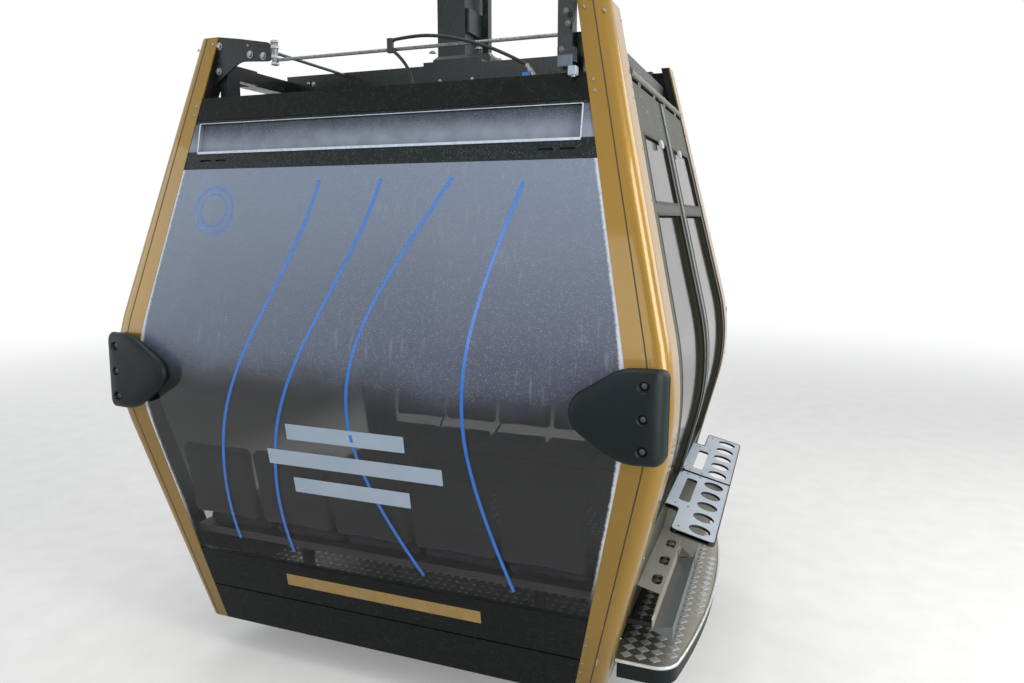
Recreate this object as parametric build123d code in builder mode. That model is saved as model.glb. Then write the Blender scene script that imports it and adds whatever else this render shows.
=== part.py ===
"""Ten-seat gondola cabin with its hanger and its detachable rope grip.

Millimetres. The origin is the rope's centre line in the middle of the grip jaws, +Z is up
and the rope runs along Y. The doors are on the +X side and the back wall on the -X side.
Values named height, low or top count up from the foot of the corner pillars.
"""
import math
import os

from build123d import *

os.makedirs("parts", exist_ok=True)

# Overall places
rope_to_foot = 4350.0
pillar_height = 2430.0
waist_height = 1120.0
foot_z = -rope_to_foot
past_faces = 1400.0

# Half widths of the outer faces at the foot, at the sharp waist and at the pillar tops
side_foot = 885.0
side_waist = 1160.0
side_head = 842.0
side_bend = 980.0
end_foot = 800.0
end_waist = 1000.0
end_head = 700.0
end_bend = 1170.0
side_faces = {"foot": side_foot, "waist": side_waist, "top": side_head, "bend": side_bend}
end_faces = {"foot": end_foot, "waist": end_waist, "top": end_head, "bend": end_bend}
# The openings between the pillars: along X in the end walls, along Y in the side walls
end_leg = {"foot": 101.0, "waist": 150.0, "top": 106.0}
side_leg = {"foot": 140.0, "waist": 175.0, "top": 160.0}
end_opening = {level: side_faces[level] - leg for level, leg in end_leg.items()}
end_opening["bend"] = side_bend
side_opening = {level: end_faces[level] - leg for level, leg in side_leg.items()}
side_opening["bend"] = end_bend

# Gaps and wall thicknesses
seat_gap = 0.3
moving_gap = 6.0
pillar_wall = 40.0
pillar_corner_radius = 55.0
skirt_wall = 30.0
header_wall = 40.0
beam_wall = 60.0
pane_wall = 8.0

# Levels of the walls: the skirts from the foot up, the rest from the pillar tops down
skirt_top = 337.0
groove_height = 165.0
groove_width = 6.0
groove_depth = 4.0
pillar_rise = 240.0
beam_height = 88.0
vent_gap = 14.0
vent_height = 111.0
slot_band_height = 67.0
beam_top = pillar_height - pillar_rise
beam_low = beam_top - beam_height
vent_top = beam_low - vent_gap
slot_band_top = vent_top - vent_height
pane_top = slot_band_top - slot_band_height
vent_depth = 18.0
vent_margin = 24.0


def half_at(faces, height):
    """Half width of two leaning faces at a height, with the waist taken as sharp."""
    if height <= waist_height:
        share = height / waist_height
        return faces["foot"] + share * (faces["waist"] - faces["foot"])
    share = (height - waist_height) / (pillar_height - waist_height)
    return faces["waist"] + share * (faces["top"] - faces["waist"])


def wall_plane(outward):
    """An upright plane at the pillars' foot, its own x pointing out of a wall."""
    across = Vector(outward).cross(Vector(0, 0, 1))
    return Plane(origin=(0, 0, foot_z), x_dir=outward, z_dir=across)


def level_plane(height):
    """A level plane at a height above the pillars' foot."""
    return Plane.XY.offset(foot_z + height)


def waisted_face(plane, points, bend):
    """A closed face through the points, its corners at the waist rounded."""
    with BuildSketch(plane) as sketch:
        with BuildLine():
            Polyline(*points, close=True)
        make_face()
        corners = [v for v in sketch.vertices() if abs(v.Y - waist_height) < 1]
        if corners:
            fillet(corners, bend)
    return sketch.sketch


def levels_between(low, high):
    """The heights at which a leaning face has its corners."""
    return [low, waist_height, high] if low < waist_height < high else [low, high]


def between(plane, faces, inset, low, high):
    """The outline between two opposite leaning faces."""
    right = [(half_at(faces, level) - inset, level) for level in levels_between(low, high)]
    left = [(-half, level) for half, level in reversed(right)]
    return waisted_face(plane, right + left, faces["bend"])


def band(plane, faces, outer_inset, inner_inset, low, high):
    """The cut through one leaning wall, between two insets from its outer face."""
    levels = levels_between(low, high)
    outer = [(half_at(faces, level) - outer_inset, level) for level in levels]
    inner = [(half_at(faces, level) - inner_inset, level) for level in reversed(levels)]
    return waisted_face(plane, outer + inner, faces["bend"])


def write(node, name):
    """Label a finished piece and write it under its own name."""
    node.label = name
    export_step(node, f"parts/{name}.step")


along_x = wall_plane((1, 0, 0))
along_y = wall_plane((0, 1, 0))

# The three pane walls: where each faces, the faces it lies in and the opening it fills
pane_walls = [
    {"name": "front", "outward": (0, -1, 0), "faces": end_faces, "opening": end_opening, "across": along_x},
    {"name": "rear", "outward": (0, 1, 0), "faces": end_faces, "opening": end_opening, "across": along_x},
    {"name": "back", "outward": (-1, 0, 0), "faces": side_faces, "opening": side_opening, "across": along_y},
]


def wall_panel(wall, outer_inset, inner_inset, edge_gap, low, high):
    """A panel of a pane wall from pillar to pillar."""
    with BuildPart() as panel:
        profile = band(wall_plane(wall["outward"]), wall["faces"], outer_inset, inner_inset, low, high)
        extrude(profile, past_faces, both=True)
        span = between(wall["across"], wall["opening"], edge_gap, low - 1, high + 1)
        extrude(span, past_faces, both=True, mode=Mode.INTERSECT)
    return panel.part


# Corner pillars: four bent L-shaped posts, round at their outer corner
with BuildPart() as pillars:
    extrude(between(along_x, side_faces, 0, 0, pillar_height), past_faces, both=True)
    ends = between(along_y, end_faces, 0, 0, pillar_height)
    extrude(ends, past_faces, both=True, mode=Mode.INTERSECT)
    corner_edges = pillars.edges().filter_by(
        lambda edge: min(abs(edge.center().X), abs(edge.center().Y)) > half_at(end_faces, pillar_height) / 2
    )
    fillet(corner_edges, pillar_corner_radius)
with BuildPart() as pillar_core:
    extrude(between(along_x, side_faces, pillar_wall, -1, pillar_height + 1), past_faces, both=True)
    core_ends = between(along_y, end_faces, pillar_wall, -1, pillar_height + 1)
    extrude(core_ends, past_faces, both=True, mode=Mode.INTERSECT)
with BuildPart() as corner_pillars:
    add(pillars.part)
    add(pillar_core.part, mode=Mode.SUBTRACT)
    for plane, opening in ((along_x, end_opening), (along_y, side_opening)):
        gap = between(plane, opening, 0, -1, pillar_height + 1)
        extrude(gap, past_faces, both=True, mode=Mode.SUBTRACT)
for pillar in corner_pillars.solids():
    end_name = "front" if pillar.center().Y < 0 else "rear"
    side_name = "right" if pillar.center().X > 0 else "left"
    write(pillar, f"corner_pillar_{end_name}_{side_name}")

# Skirts, panes and headers of the front, rear and back walls
slot_length = 52.0
slot_height = 7.0
slot_pitch = 74.0
slot_from_edge = 90.0
for wall in pane_walls:
    with BuildPart() as skirt:
        add(wall_panel(wall, 0, skirt_wall, seat_gap, 0, skirt_top - seat_gap))
        groove = band(
            wall_plane(wall["outward"]),
            wall["faces"],
            -1,
            groove_depth,
            groove_height - groove_width / 2,
            groove_height + groove_width / 2,
        )
        extrude(groove, past_faces, both=True, mode=Mode.SUBTRACT)
    write(skirt.part, wall["name"] + "_skirt")

    write(
        wall_panel(wall, 1, 1 + pane_wall, seat_gap, skirt_top, pane_top),
        wall["name"] + "_pane",
    )

    header_span = half_at(wall["opening"], slot_band_top)
    with BuildPart() as header:
        add(wall_panel(wall, 3, header_wall, seat_gap, pane_top + seat_gap, beam_low - seat_gap))
        recess_half = half_at(wall["opening"], vent_top) - vent_margin
        recess = band(wall_plane(wall["outward"]), wall["faces"], 0, 3 + vent_depth, slot_band_top, vent_top)
        extrude(recess, recess_half, both=True, mode=Mode.SUBTRACT)
        slot_level = (pane_top + slot_band_top) / 2
        slot_middle = band(
            wall_plane(wall["outward"]),
            wall["faces"],
            0,
            12,
            slot_level - slot_height / 2,
            slot_level + slot_height / 2,
        )
        across = wall_plane(wall["outward"]).z_dir
        for side in (-1, 1):
            for step in (0, 1):
                middle = side * (header_span - slot_from_edge - step * slot_pitch)
                slot = extrude(slot_middle, slot_length / 2, both=True, mode=Mode.PRIVATE)
                add(slot.moved(Location(across * middle)), mode=Mode.SUBTRACT)
    write(header.part, wall["name"] + "_header")

# Roof beams over the headers, the head of the doorway and the flat roof panel between them
roof_low = beam_low + 23.0
roof_wall = 28.0
leaf_top = beam_top - 5.0
rail_over_leaf = 29.0
rail_height = leaf_top + rail_over_leaf
rail_inset = 5.0
rail_radius = 12.0
rail_bore_sides = 16
rail_half = 560.0
rail_out = half_at(side_faces, rail_height) - rail_inset
rail_bracket_length = 26.0
rail_bracket_edge = 4.0
rail_clip_reach = 4.0
door_head_top = rail_height + 8.0
door_head_inset = 62.0
door_head_wall = 26.0
with BuildPart() as roof_beams:
    for wall in pane_walls:
        add(wall_panel(wall, 0, beam_wall, seat_gap, beam_low, beam_top))
write(roof_beams.part, "roof_beams")

with BuildPart() as door_header:
    head_inner = door_head_inset + door_head_wall
    profile = band(along_x, side_faces, door_head_inset, head_inner, beam_low, door_head_top)
    extrude(profile, past_faces, both=True)
    span = between(along_y, side_opening, seat_gap, beam_low - 1, door_head_top + 1)
    extrude(span, past_faces, both=True, mode=Mode.INTERSECT)
    bracket_root = half_at(side_faces, rail_height) - head_inner + door_head_wall / 2
    bracket_reach = rail_out + rail_clip_reach - bracket_root
    bracket_low = rail_height - rail_radius - rail_bracket_edge
    for place in (-rail_half, 0, rail_half):
        with BuildSketch(level_plane(bracket_low)):
            with Locations((bracket_root + bracket_reach / 2, place)):
                Rectangle(bracket_reach, rail_bracket_length)
        extrude(amount=2 * (rail_radius + rail_bracket_edge))
    with BuildSketch(Plane.XZ):
        with Locations((rail_out, foot_z + rail_height)):
            RegularPolygon(rail_radius + seat_gap, rail_bore_sides, major_radius=False)
    extrude(amount=past_faces, both=True, mode=Mode.SUBTRACT)
write(door_header.part, "door_header")

with BuildPart() as door_rail:
    with BuildSketch(Plane.XZ):
        with Locations((rail_out, foot_z + rail_height)):
            Circle(rail_radius)
    extrude(amount=rail_half + rail_bracket_length / 2, both=True)
write(door_rail.part, "door_rail")

with BuildPart() as roof_panel:
    roof_top = roof_low + roof_wall
    roof_back = half_at(side_faces, roof_top) - beam_wall - seat_gap
    roof_door = half_at(side_faces, roof_top) - head_inner - seat_gap
    roof_end = half_at(end_faces, roof_top) - beam_wall - seat_gap
    with BuildSketch(level_plane(roof_low)):
        with Locations(((roof_door - roof_back) / 2, 0)):
            Rectangle(roof_door + roof_back, 2 * roof_end)
    extrude(amount=roof_wall)
write(roof_panel.part, "roof_panel")

# Floor, door sill and the step outside the doors
floor_top = 124.0
floor_wall = 36.0
step_depth = 320.0
step_end_depth = 242.0
step_reach = side_foot + step_depth
step_end_reach = side_foot + step_end_depth
step_half = 720.0
step_corner = 90.0
step_wall = 10.0
band_height = 62.0
band_wall = 12.0
band_inset = 8.0
with BuildPart() as floor_panel:
    floor_low = floor_top - floor_wall
    half_x = half_at(side_faces, floor_low) - pillar_wall - seat_gap
    half_y = half_at(end_faces, floor_low) - pillar_wall - seat_gap
    with BuildSketch(level_plane(floor_low)):
        Rectangle(2 * half_x, 2 * half_y)
    extrude(amount=floor_wall)
write(floor_panel.part, "floor_panel")

with BuildPart() as door_sill:
    extrude(band(along_x, side_faces, 0, skirt_wall, 0, floor_top), past_faces, both=True)
    span = between(along_y, side_opening, seat_gap, -1, floor_top + 1)
    extrude(span, past_faces, both=True, mode=Mode.INTERSECT)
write(door_sill.part, "door_sill")

step_root = half_at(side_faces, floor_top) + seat_gap
with BuildSketch(level_plane(floor_top - step_wall)) as step_outline:
    with BuildLine():
        Line((step_root, -step_half), (step_end_reach, -step_half))
        ThreePointArc((step_end_reach, -step_half), (step_reach, 0), (step_end_reach, step_half))
        Polyline((step_end_reach, step_half), (step_root, step_half), (step_root, -step_half))
    make_face()
    fillet(step_outline.vertices().group_by(Axis.X)[-1], step_corner)
with BuildPart() as step_plate:
    extrude(step_outline.sketch, step_wall)
write(step_plate.part, "step_plate")

with BuildPart() as step_band:
    lower = step_outline.sketch.moved(Location((0, 0, -band_height)))
    outer = offset(lower, -band_inset, mode=Mode.PRIVATE)
    inner = offset(lower, -band_inset - band_wall, mode=Mode.PRIVATE)
    extrude(outer, band_height)
    extrude(inner, band_height, mode=Mode.SUBTRACT)
write(step_band.part, "step_band")

# Door leaves: bent frames with a long window and a vent window, meeting in the middle
leaf_inset = 4.0
leaf_wall = 45.0
leaf_low = 150.0
meeting_half = 6.0
window_edge = 78.0
window_low = 650.0
leaf_head = 173.0
vent_window_height = 237.0
window_bar = 40.0
vent_high = leaf_top - leaf_head
vent_low = vent_high - vent_window_height
window_top = vent_low - window_bar
glass_inset = 18.0
glass_wall = 6.0
leaf_outer = leaf_inset
leaf_inner = leaf_inset + leaf_wall


def leaf_slab(outer_inset, inner_inset, edge, low, high):
    """Two slabs in the doorway, each this far from its pillar and from its meeting edge."""
    with BuildPart() as slab:
        extrude(band(along_x, side_faces, outer_inset, inner_inset, low, high), past_faces, both=True)
        span = between(along_y, side_opening, moving_gap + edge, low - 1, high + 1)
        extrude(span, past_faces, both=True, mode=Mode.INTERSECT)
        with BuildSketch(level_plane(low - 1)):
            Rectangle(2 * past_faces, 2 * (meeting_half + edge))
        extrude(amount=high - low + 2, mode=Mode.SUBTRACT)
    return slab.part


with BuildPart() as door_leaves:
    add(leaf_slab(leaf_outer, leaf_inner, 0, leaf_low, leaf_top))
    for low, high in ((window_low, window_top), (vent_low, vent_high)):
        add(leaf_slab(-10, leaf_inner + 10, window_edge, low, high), mode=Mode.SUBTRACT)
for leaf in door_leaves.solids():
    write(leaf, "door_leaf_front" if leaf.center().Y < 0 else "door_leaf_rear")

glass_outer = leaf_inset + glass_inset
glass_inner = glass_outer + glass_wall
glass_edge = window_edge + seat_gap
door_glass = leaf_slab(glass_outer, glass_inner, glass_edge, window_low + seat_gap, window_top - seat_gap)
write(door_glass, "door_glass")

vent_wall = 16.0
vent_windows = leaf_slab(
    leaf_inset + 8, leaf_inset + 8 + vent_wall, glass_edge, vent_low + seat_gap, vent_high - seat_gap
)
write(vent_windows, "vent_windows")

strip_half = 20.0
strip_wall = 5.0
with BuildPart() as door_meeting_strip:
    strip_back = leaf_inset - seat_gap
    profile = band(along_x, side_faces, strip_back - strip_wall, strip_back, leaf_low, leaf_top)
    extrude(profile, strip_half, both=True)
write(door_meeting_strip.part, "door_meeting_strip")

hanger_places = (120.0, 420.0)
door_hanger_length = 50.0
door_hanger_wall = 30.0
door_hanger_top = rail_height + rail_radius + rail_bracket_edge
door_hanger_place = rail_out + rail_clip_reach - door_hanger_wall / 2
with BuildPart() as door_hangers:
    for side in (-1, 1):
        for place in hanger_places:
            with BuildSketch(level_plane(leaf_top + seat_gap)):
                with Locations((door_hanger_place, side * place)):
                    Rectangle(door_hanger_wall, door_hanger_length)
            extrude(amount=door_hanger_top - leaf_top - seat_gap)
    with BuildSketch(Plane.XZ):
        with Locations((rail_out, foot_z + rail_height)):
            RegularPolygon(rail_radius + seat_gap, rail_bore_sides, major_radius=False)
    extrude(amount=past_faces, both=True, mode=Mode.SUBTRACT)
write(door_hangers.part, "door_hangers")

# Ski racks on the leaves: a plate with round holes, a pierced shelf, a folded trough and stays
wall_lean = math.atan((side_faces["waist"] - side_faces["foot"]) / waist_height)
plate_height = 636.0
plate_reach = 212.0
plate_wall = 10.0
plate_near = 6.0
plate_far = 632.0
plate_corner = 22.0
strip_clear = 24.0
strip_gap = 9.0
notch_reach = 48.0
notch_start = 428.0
hole_count = 5
hole_pitch = 121.0
hole_first = 78.0
hole_radius = 40.0
hole_sides = 24
hole_reach = 148.0
slot_near = 76.0
slot_far = 342.0
plate_slot_width = 44.0
slot_reach = 58.0
slot_corner = 12.0
plate_root = leaf_inset * math.cos(wall_lean) - seat_gap


def square_to_wall(height):
    """A plane that leaves the lower side wall at right angles, its own x pointing out."""
    return Plane(
        origin=(half_at(side_faces, height), 0, foot_z + height),
        x_dir=(math.cos(wall_lean), 0, -math.sin(wall_lean)),
        z_dir=(math.sin(wall_lean), 0, math.cos(wall_lean)),
    )


def rack_point(height, out, under=0.0):
    """Where a point lies across the rack: so far out along a plate and so far under it."""
    across = half_at(side_faces, height) + out * math.cos(wall_lean) - under * math.sin(wall_lean)
    return across, height - out * math.sin(wall_lean) - under * math.cos(wall_lean)


with BuildPart() as ski_plates:
    for side in (-1, 1):
        with BuildSketch(square_to_wall(plate_height)) as plate:
            with BuildLine():
                Polyline(
                    (-plate_root, side * strip_clear),
                    (strip_gap, side * strip_clear),
                    (strip_gap, side * plate_near),
                    (plate_reach, side * plate_near),
                    (plate_reach, side * plate_far),
                    (notch_reach, side * plate_far),
                    (notch_reach, side * notch_start),
                    (-plate_root, side * notch_start),
                    close=True,
                )
            make_face()
            inner_corners = [v for v in plate.vertices() if abs(abs(v.Y) - notch_start) < 1]
            fillet([v for v in inner_corners if v.X > 0], slot_corner)
            fillet([v for v in plate.vertices() if abs(v.Y) > plate_far - 1], plate_corner)
            for count in range(hole_count):
                with Locations((hole_reach, side * (hole_first + count * hole_pitch))):
                    RegularPolygon(hole_radius, hole_sides, mode=Mode.SUBTRACT)
            with Locations((slot_reach, side * (slot_near + slot_far) / 2)):
                RectangleRounded(plate_slot_width, slot_far - slot_near, slot_corner, mode=Mode.SUBTRACT)
        extrude(amount=-plate_wall)
write(ski_plates.part, "ski_plates")

shelf_height = 372.0
shelf_reach = 84.0
shelf_drop = 92.0
shelf_wall = 5.0
shelf_near = 40.0
shelf_far = 600.0
oval_length = 86.0
oval_width = 38.0
oval_sides = 12
oval_reach = 54.0
oval_count = 3
oval_first = 165.0
oval_pitch = 170.0
with BuildPart() as rack_shelves:
    with BuildSketch(along_x) as shelf_cut:
        with BuildLine():
            fold = rack_point(shelf_height, shelf_reach, shelf_wall / 2)
            Polyline(
                rack_point(shelf_height, -plate_root, shelf_wall / 2),
                fold,
                (fold[0] - shelf_drop * math.sin(wall_lean), fold[1] - shelf_drop * math.cos(wall_lean)),
            )
        trace(line_width=shelf_wall)
    for side in (-1, 1):
        start = -side * (shelf_near + shelf_far) / 2
        extrude(shelf_cut.sketch.moved(Location((0, start, 0))), (shelf_far - shelf_near) / 2, both=True)
    with BuildSketch(square_to_wall(shelf_height)):
        for side in (-1, 1):
            for count in range(oval_count):
                middle = side * (oval_first + count * oval_pitch)
                with Locations((oval_reach, middle)):
                    Rectangle(oval_width, oval_length - oval_width)
                for end in (-1, 1):
                    with Locations((oval_reach, middle + end * (oval_length - oval_width) / 2)):
                        RegularPolygon(oval_width / 2, oval_sides)
    extrude(amount=-2 * shelf_wall, mode=Mode.SUBTRACT)
write(rack_shelves.part, "rack_shelves")

trough_wall = 5.0
trough_seat = 1.0
trough_near = 10.0
trough_far = 632.0
trough_drop = 42.0
trough_out = 74.0
trough_rise = 24.0
trough_lip = 52.0
inner_top = (
    fold[0] - (shelf_drop + trough_seat) * math.sin(wall_lean),
    fold[1] - (shelf_drop + trough_seat) * math.cos(wall_lean),
)
inner_low = (inner_top[0], inner_top[1] - trough_drop)
outer_top = (inner_low[0] + trough_out, inner_low[1] + trough_rise)
outer_low = (outer_top[0], outer_top[1] - trough_lip)
with BuildPart() as ski_troughs:
    with BuildSketch(along_x) as trough_cut:
        with BuildLine():
            Polyline(inner_top, inner_low, outer_top, outer_low)
        trace(line_width=trough_wall)
    with BuildSketch(along_x) as trough_end:
        with BuildLine():
            Polyline(inner_low, outer_top, outer_low, close=True)
        make_face()
    length = trough_far - trough_near
    extrude(trough_cut.sketch.moved(Location((0, -trough_near, 0))), length)
    extrude(trough_end.sketch.moved(Location((0, -trough_far + trough_wall, 0))), trough_wall)
    mirror(about=Plane.XZ)
write(ski_troughs.part, "ski_troughs")

# Stays between plate, trough and leaf at the meeting edges, and lugs at the troughs' far ends
stay_near = 27.0
stay_wall = 6.0
stay_edge = 12.0
lug_far = 624.0
lug_length = 16.0
lug_size = 20.0
with BuildPart() as rack_stays:
    stay_foot = (outer_top[0] - trough_wall, outer_top[1] + trough_wall)
    stay_head = rack_point(plate_height, plate_reach - stay_edge, plate_wall + seat_gap)
    stay_root = rack_point(plate_height, -plate_root, plate_wall + seat_gap)
    stay_knee_height = stay_foot[1] + stay_foot[0] - half_at(side_faces, shelf_height)
    stay_knee = (half_at(side_faces, stay_knee_height) - leaf_inset + seat_gap, stay_knee_height)
    with BuildSketch(along_x.offset(stay_near)):
        with BuildLine():
            Polyline(stay_foot, stay_head, stay_root, stay_knee, close=True)
        make_face()
    extrude(amount=stay_wall)
    with BuildSketch(along_x.offset(lug_far - lug_length)):
        with BuildLine():
            lug_top = inner_low[1] + lug_size + trough_wall
            lug_low = inner_low[1] + trough_wall
            lug_out = inner_low[0] - trough_wall / 2 - seat_gap
            Polyline(
                (half_at(side_faces, lug_top) - leaf_inset + seat_gap, lug_top),
                (lug_out, lug_top),
                (lug_out, lug_low),
                (half_at(side_faces, lug_low) - leaf_inset + seat_gap, lug_low),
                close=True,
            )
        make_face()
    extrude(amount=lug_length)
    mirror(about=Plane.XZ)
write(rack_stays.part, "rack_stays")

# Bumper pads over the waist corners of the end walls, bent like the walls, thick in the middle
# and drawn in towards their points and towards the cabin's sides
bumper_inset = 38.0
bumper_top_length = 142.0
bumper_point_length = 376.0
bumper_edge = side_waist - bumper_inset
bumper_shoulder = bumper_edge - bumper_top_length
bumper_point = bumper_edge - bumper_point_length
bumper_half = 152.0
bumper_corner = 36.0
bumper_shoulder_radius = 150.0
bumper_point_radius = 81.0
bumper_proud = 62.0
bumper_near_proud = 30.0
bumper_near_bevel = 104.0
bumper_far_proud = 10.0
bumper_far_bevel = 62.0
screw_recess_radius = 19.0
screw_recess_depth = 12.0
screw_line = bumper_edge - 69.0
screw_pitch = 102.0
waist_face = between(along_y, end_faces, 0, 0, pillar_height).bounding_box().max.Y
pad_over = 4.0
pad_start = waist_face + bumper_proud + pad_over
for name, end in (("front_bumpers", -1), ("rear_bumpers", 1)):
    pad_plane = along_x.offset(-end * pad_start)
    with BuildPart() as recesses:
        with BuildSketch(pad_plane):
            for side in (-1, 1):
                for step in (-1, 0, 1):
                    with Locations((side * screw_line, waist_height + step * screw_pitch)):
                        RegularPolygon(screw_recess_radius, 8)
        extrude(amount=end * bumper_proud)
        floor_face = between(along_y, end_faces, screw_recess_depth - bumper_proud, 0, pillar_height)
        extrude(floor_face, past_faces, both=True, mode=Mode.SUBTRACT)
    pad_low = waist_height - 2 * bumper_half
    pad_high = waist_height + 2 * bumper_half
    front_face = between(along_y, end_faces, -bumper_proud, pad_low, pad_high)
    back_face = between(along_y, end_faces, -seat_gap, 0, pillar_height)
    with BuildPart() as bumpers:
        for side in (-1, 1):
            with BuildPart() as pad:
                with BuildSketch(pad_plane) as outline:
                    with BuildLine():
                        Polyline(
                            (side * bumper_edge, waist_height + bumper_half),
                            (side * bumper_shoulder, waist_height + bumper_half),
                            (side * bumper_point, waist_height),
                            (side * bumper_shoulder, waist_height - bumper_half),
                            (side * bumper_edge, waist_height - bumper_half),
                            close=True,
                        )
                    make_face()
                    corners = outline.vertices().sort_by(lambda vertex: abs(vertex.X))
                    fillet(corners[0], bumper_point_radius)
                    corners = outline.vertices().sort_by(lambda vertex: abs(abs(vertex.X) - bumper_shoulder))
                    fillet(corners[:2], bumper_shoulder_radius)
                    corners = outline.vertices().sort_by(lambda vertex: abs(vertex.X))
                    fillet(corners[-2:], bumper_corner)
                extrude(amount=end * 2 * bumper_proud)
                extrude(front_face, past_faces, both=True, mode=Mode.INTERSECT)
                with BuildSketch(level_plane(pad_low)):
                    with BuildLine():
                        Polyline(
                            (side * bumper_point, end * (waist_face - bumper_half)),
                            (side * bumper_point, end * (waist_face + bumper_near_proud)),
                            (side * (bumper_point + bumper_near_bevel), end * pad_start),
                            (side * (bumper_edge - bumper_far_bevel), end * pad_start),
                            (side * bumper_edge, end * (waist_face + bumper_far_proud)),
                            (side * bumper_edge, end * (waist_face - bumper_half)),
                            close=True,
                        )
                    make_face()
                extrude(amount=pad_high - pad_low, mode=Mode.INTERSECT)
                extrude(back_face, past_faces, both=True, mode=Mode.SUBTRACT)
            add(pad.part)
        add(recesses.part, mode=Mode.SUBTRACT)
    write(bumpers.part, name)

# Benches against both end walls, each a shell on two legs, with seat and back pads
bench_top = 430.0
bench_wall = 30.0
bench_side_gap = 110.0
bench_back_gap = 47.0
bench_half = half_at(side_faces, bench_top) - bench_side_gap
bench_back = half_at(end_faces, bench_top) - bench_back_gap
bench_depth = 410.0
bench_front = bench_back - bench_depth
bench_leg = 40.0
bench_leg_place = 560.0
bench_leg_back = 90.0
pad_edge = 20.0
pad_wall = 55.0
back_pad_low = bench_top + pad_wall + 10.0
back_pad_wall = 45.0
back_pad_top = 830.0
with BuildPart() as benches:
    for end in (-1, 1):
        with BuildSketch(level_plane(bench_top - bench_wall)):
            with Locations((0, end * (bench_back + bench_front) / 2)):
                Rectangle(2 * bench_half, bench_back - bench_front)
        extrude(amount=bench_wall)
        for side in (-1, 1):
            with BuildSketch(level_plane(floor_top)):
                with Locations((side * bench_leg_place, end * (bench_front + bench_leg_back))):
                    Rectangle(bench_leg, bench_leg)
            extrude(amount=bench_top - bench_wall - floor_top)
write(benches.part, "benches")

with BuildPart() as seat_pads:
    for end in (-1, 1):
        with BuildSketch(level_plane(bench_top + seat_gap)):
            with Locations((0, end * (bench_back - pad_edge + bench_front) / 2)):
                Rectangle(2 * (bench_half - pad_edge), bench_depth - pad_edge)
        extrude(amount=pad_wall)
write(seat_pads.part, "seat_pads")

with BuildPart() as back_pads:
    for plane in (wall_plane((0, -1, 0)), wall_plane((0, 1, 0))):
        gap = 1 + pane_wall + seat_gap
        profile = band(plane, end_faces, gap, gap + back_pad_wall, back_pad_low, back_pad_top)
        extrude(profile, bench_half - pad_edge, both=True)
write(back_pads.part, "back_pads")

# Roof frame: side rails on the roof beams' line and two cross members that carry the hanger
frame_drop = 68.0
frame_top = pillar_height - frame_drop
rail_tube = 86.0
rail_tube_height = 57.0
rail_tube_top = frame_top - 30.0
rail_tube_half = 500.0
roof_rail_place = side_head - 62.0
member_place = 185.0
member_wide = 56.0
member_height = 100.0
support_wide = 40.0
support_length = 70.0
with BuildPart() as roof_frame:
    for side in (-1, 1):
        with BuildSketch(level_plane(rail_tube_top - rail_tube_height)):
            with Locations((side * roof_rail_place, 0)):
                Rectangle(rail_tube, 2 * rail_tube_half)
        extrude(amount=rail_tube_height)
        for end in (-1, 1):
            support_far = half_at(end_faces, rail_tube_top) - pillar_wall - seat_gap
            with BuildSketch(level_plane(beam_top + seat_gap)):
                with Locations((side * (roof_rail_place - rail_tube / 2), end * (support_far - support_length / 2))):
                    Rectangle(support_wide, support_length)
            extrude(amount=rail_tube_top - beam_top - seat_gap)
            reach = support_far - rail_tube_half
            with BuildSketch(level_plane(rail_tube_top - rail_tube_height)):
                with Locations((side * (roof_rail_place - rail_tube / 2), end * (rail_tube_half + reach / 2))):
                    Rectangle(support_wide, reach)
            extrude(amount=rail_tube_height)
    for end in (-1, 1):
        with BuildSketch(level_plane(frame_top - member_height)):
            with Locations((0, end * member_place)):
                Rectangle(2 * roof_rail_place, member_wide)
        extrude(amount=member_height)
write(roof_frame.part, "roof_frame")

# Hanger: a foot on the cross members and a box arm that leans out round the rope
arm_width = 130.0
arm_depth = 200.0
foot_low = frame_top - member_height
foot_plate = 14.0
foot_left = 80.0
foot_right = 190.0
pedestal_height = 44.0
pedestal_half = 120.0
pedestal_bevel = 16.0
pin_height = rope_to_foot - 20.0
pin_place = -215.0
hub_radius = 70.0
pin_radius = 30.0
arm_bend_low = 1150.0
arm_bend_high = 700.0
arm_bend_radius = 420.0
arm_head_depth = 130.0
foot_wide = foot_left + foot_right
foot_middle = (foot_right - foot_left) / 2
with BuildPart() as hanger_foot:
    with BuildSketch(level_plane(foot_low)):
        with Locations((foot_middle, 0)):
            Rectangle(foot_wide, 2 * (member_place - member_wide / 2 - seat_gap))
    extrude(amount=frame_top + seat_gap - foot_low)
    with BuildSketch(level_plane(frame_top + seat_gap)):
        with Locations((foot_middle, 0)):
            Rectangle(foot_wide, 2 * (member_place + member_wide / 2))
    extrude(amount=foot_plate)
    with BuildSketch(level_plane(frame_top + seat_gap + foot_plate)):
        with Locations((foot_middle, 0)):
            Rectangle(foot_wide, 2 * pedestal_half)
    extrude(amount=pedestal_height)
    chamfer(hanger_foot.faces().sort_by(Axis.Z)[-1].edges(), pedestal_bevel)
write(hanger_foot.part, "hanger_foot")

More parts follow.
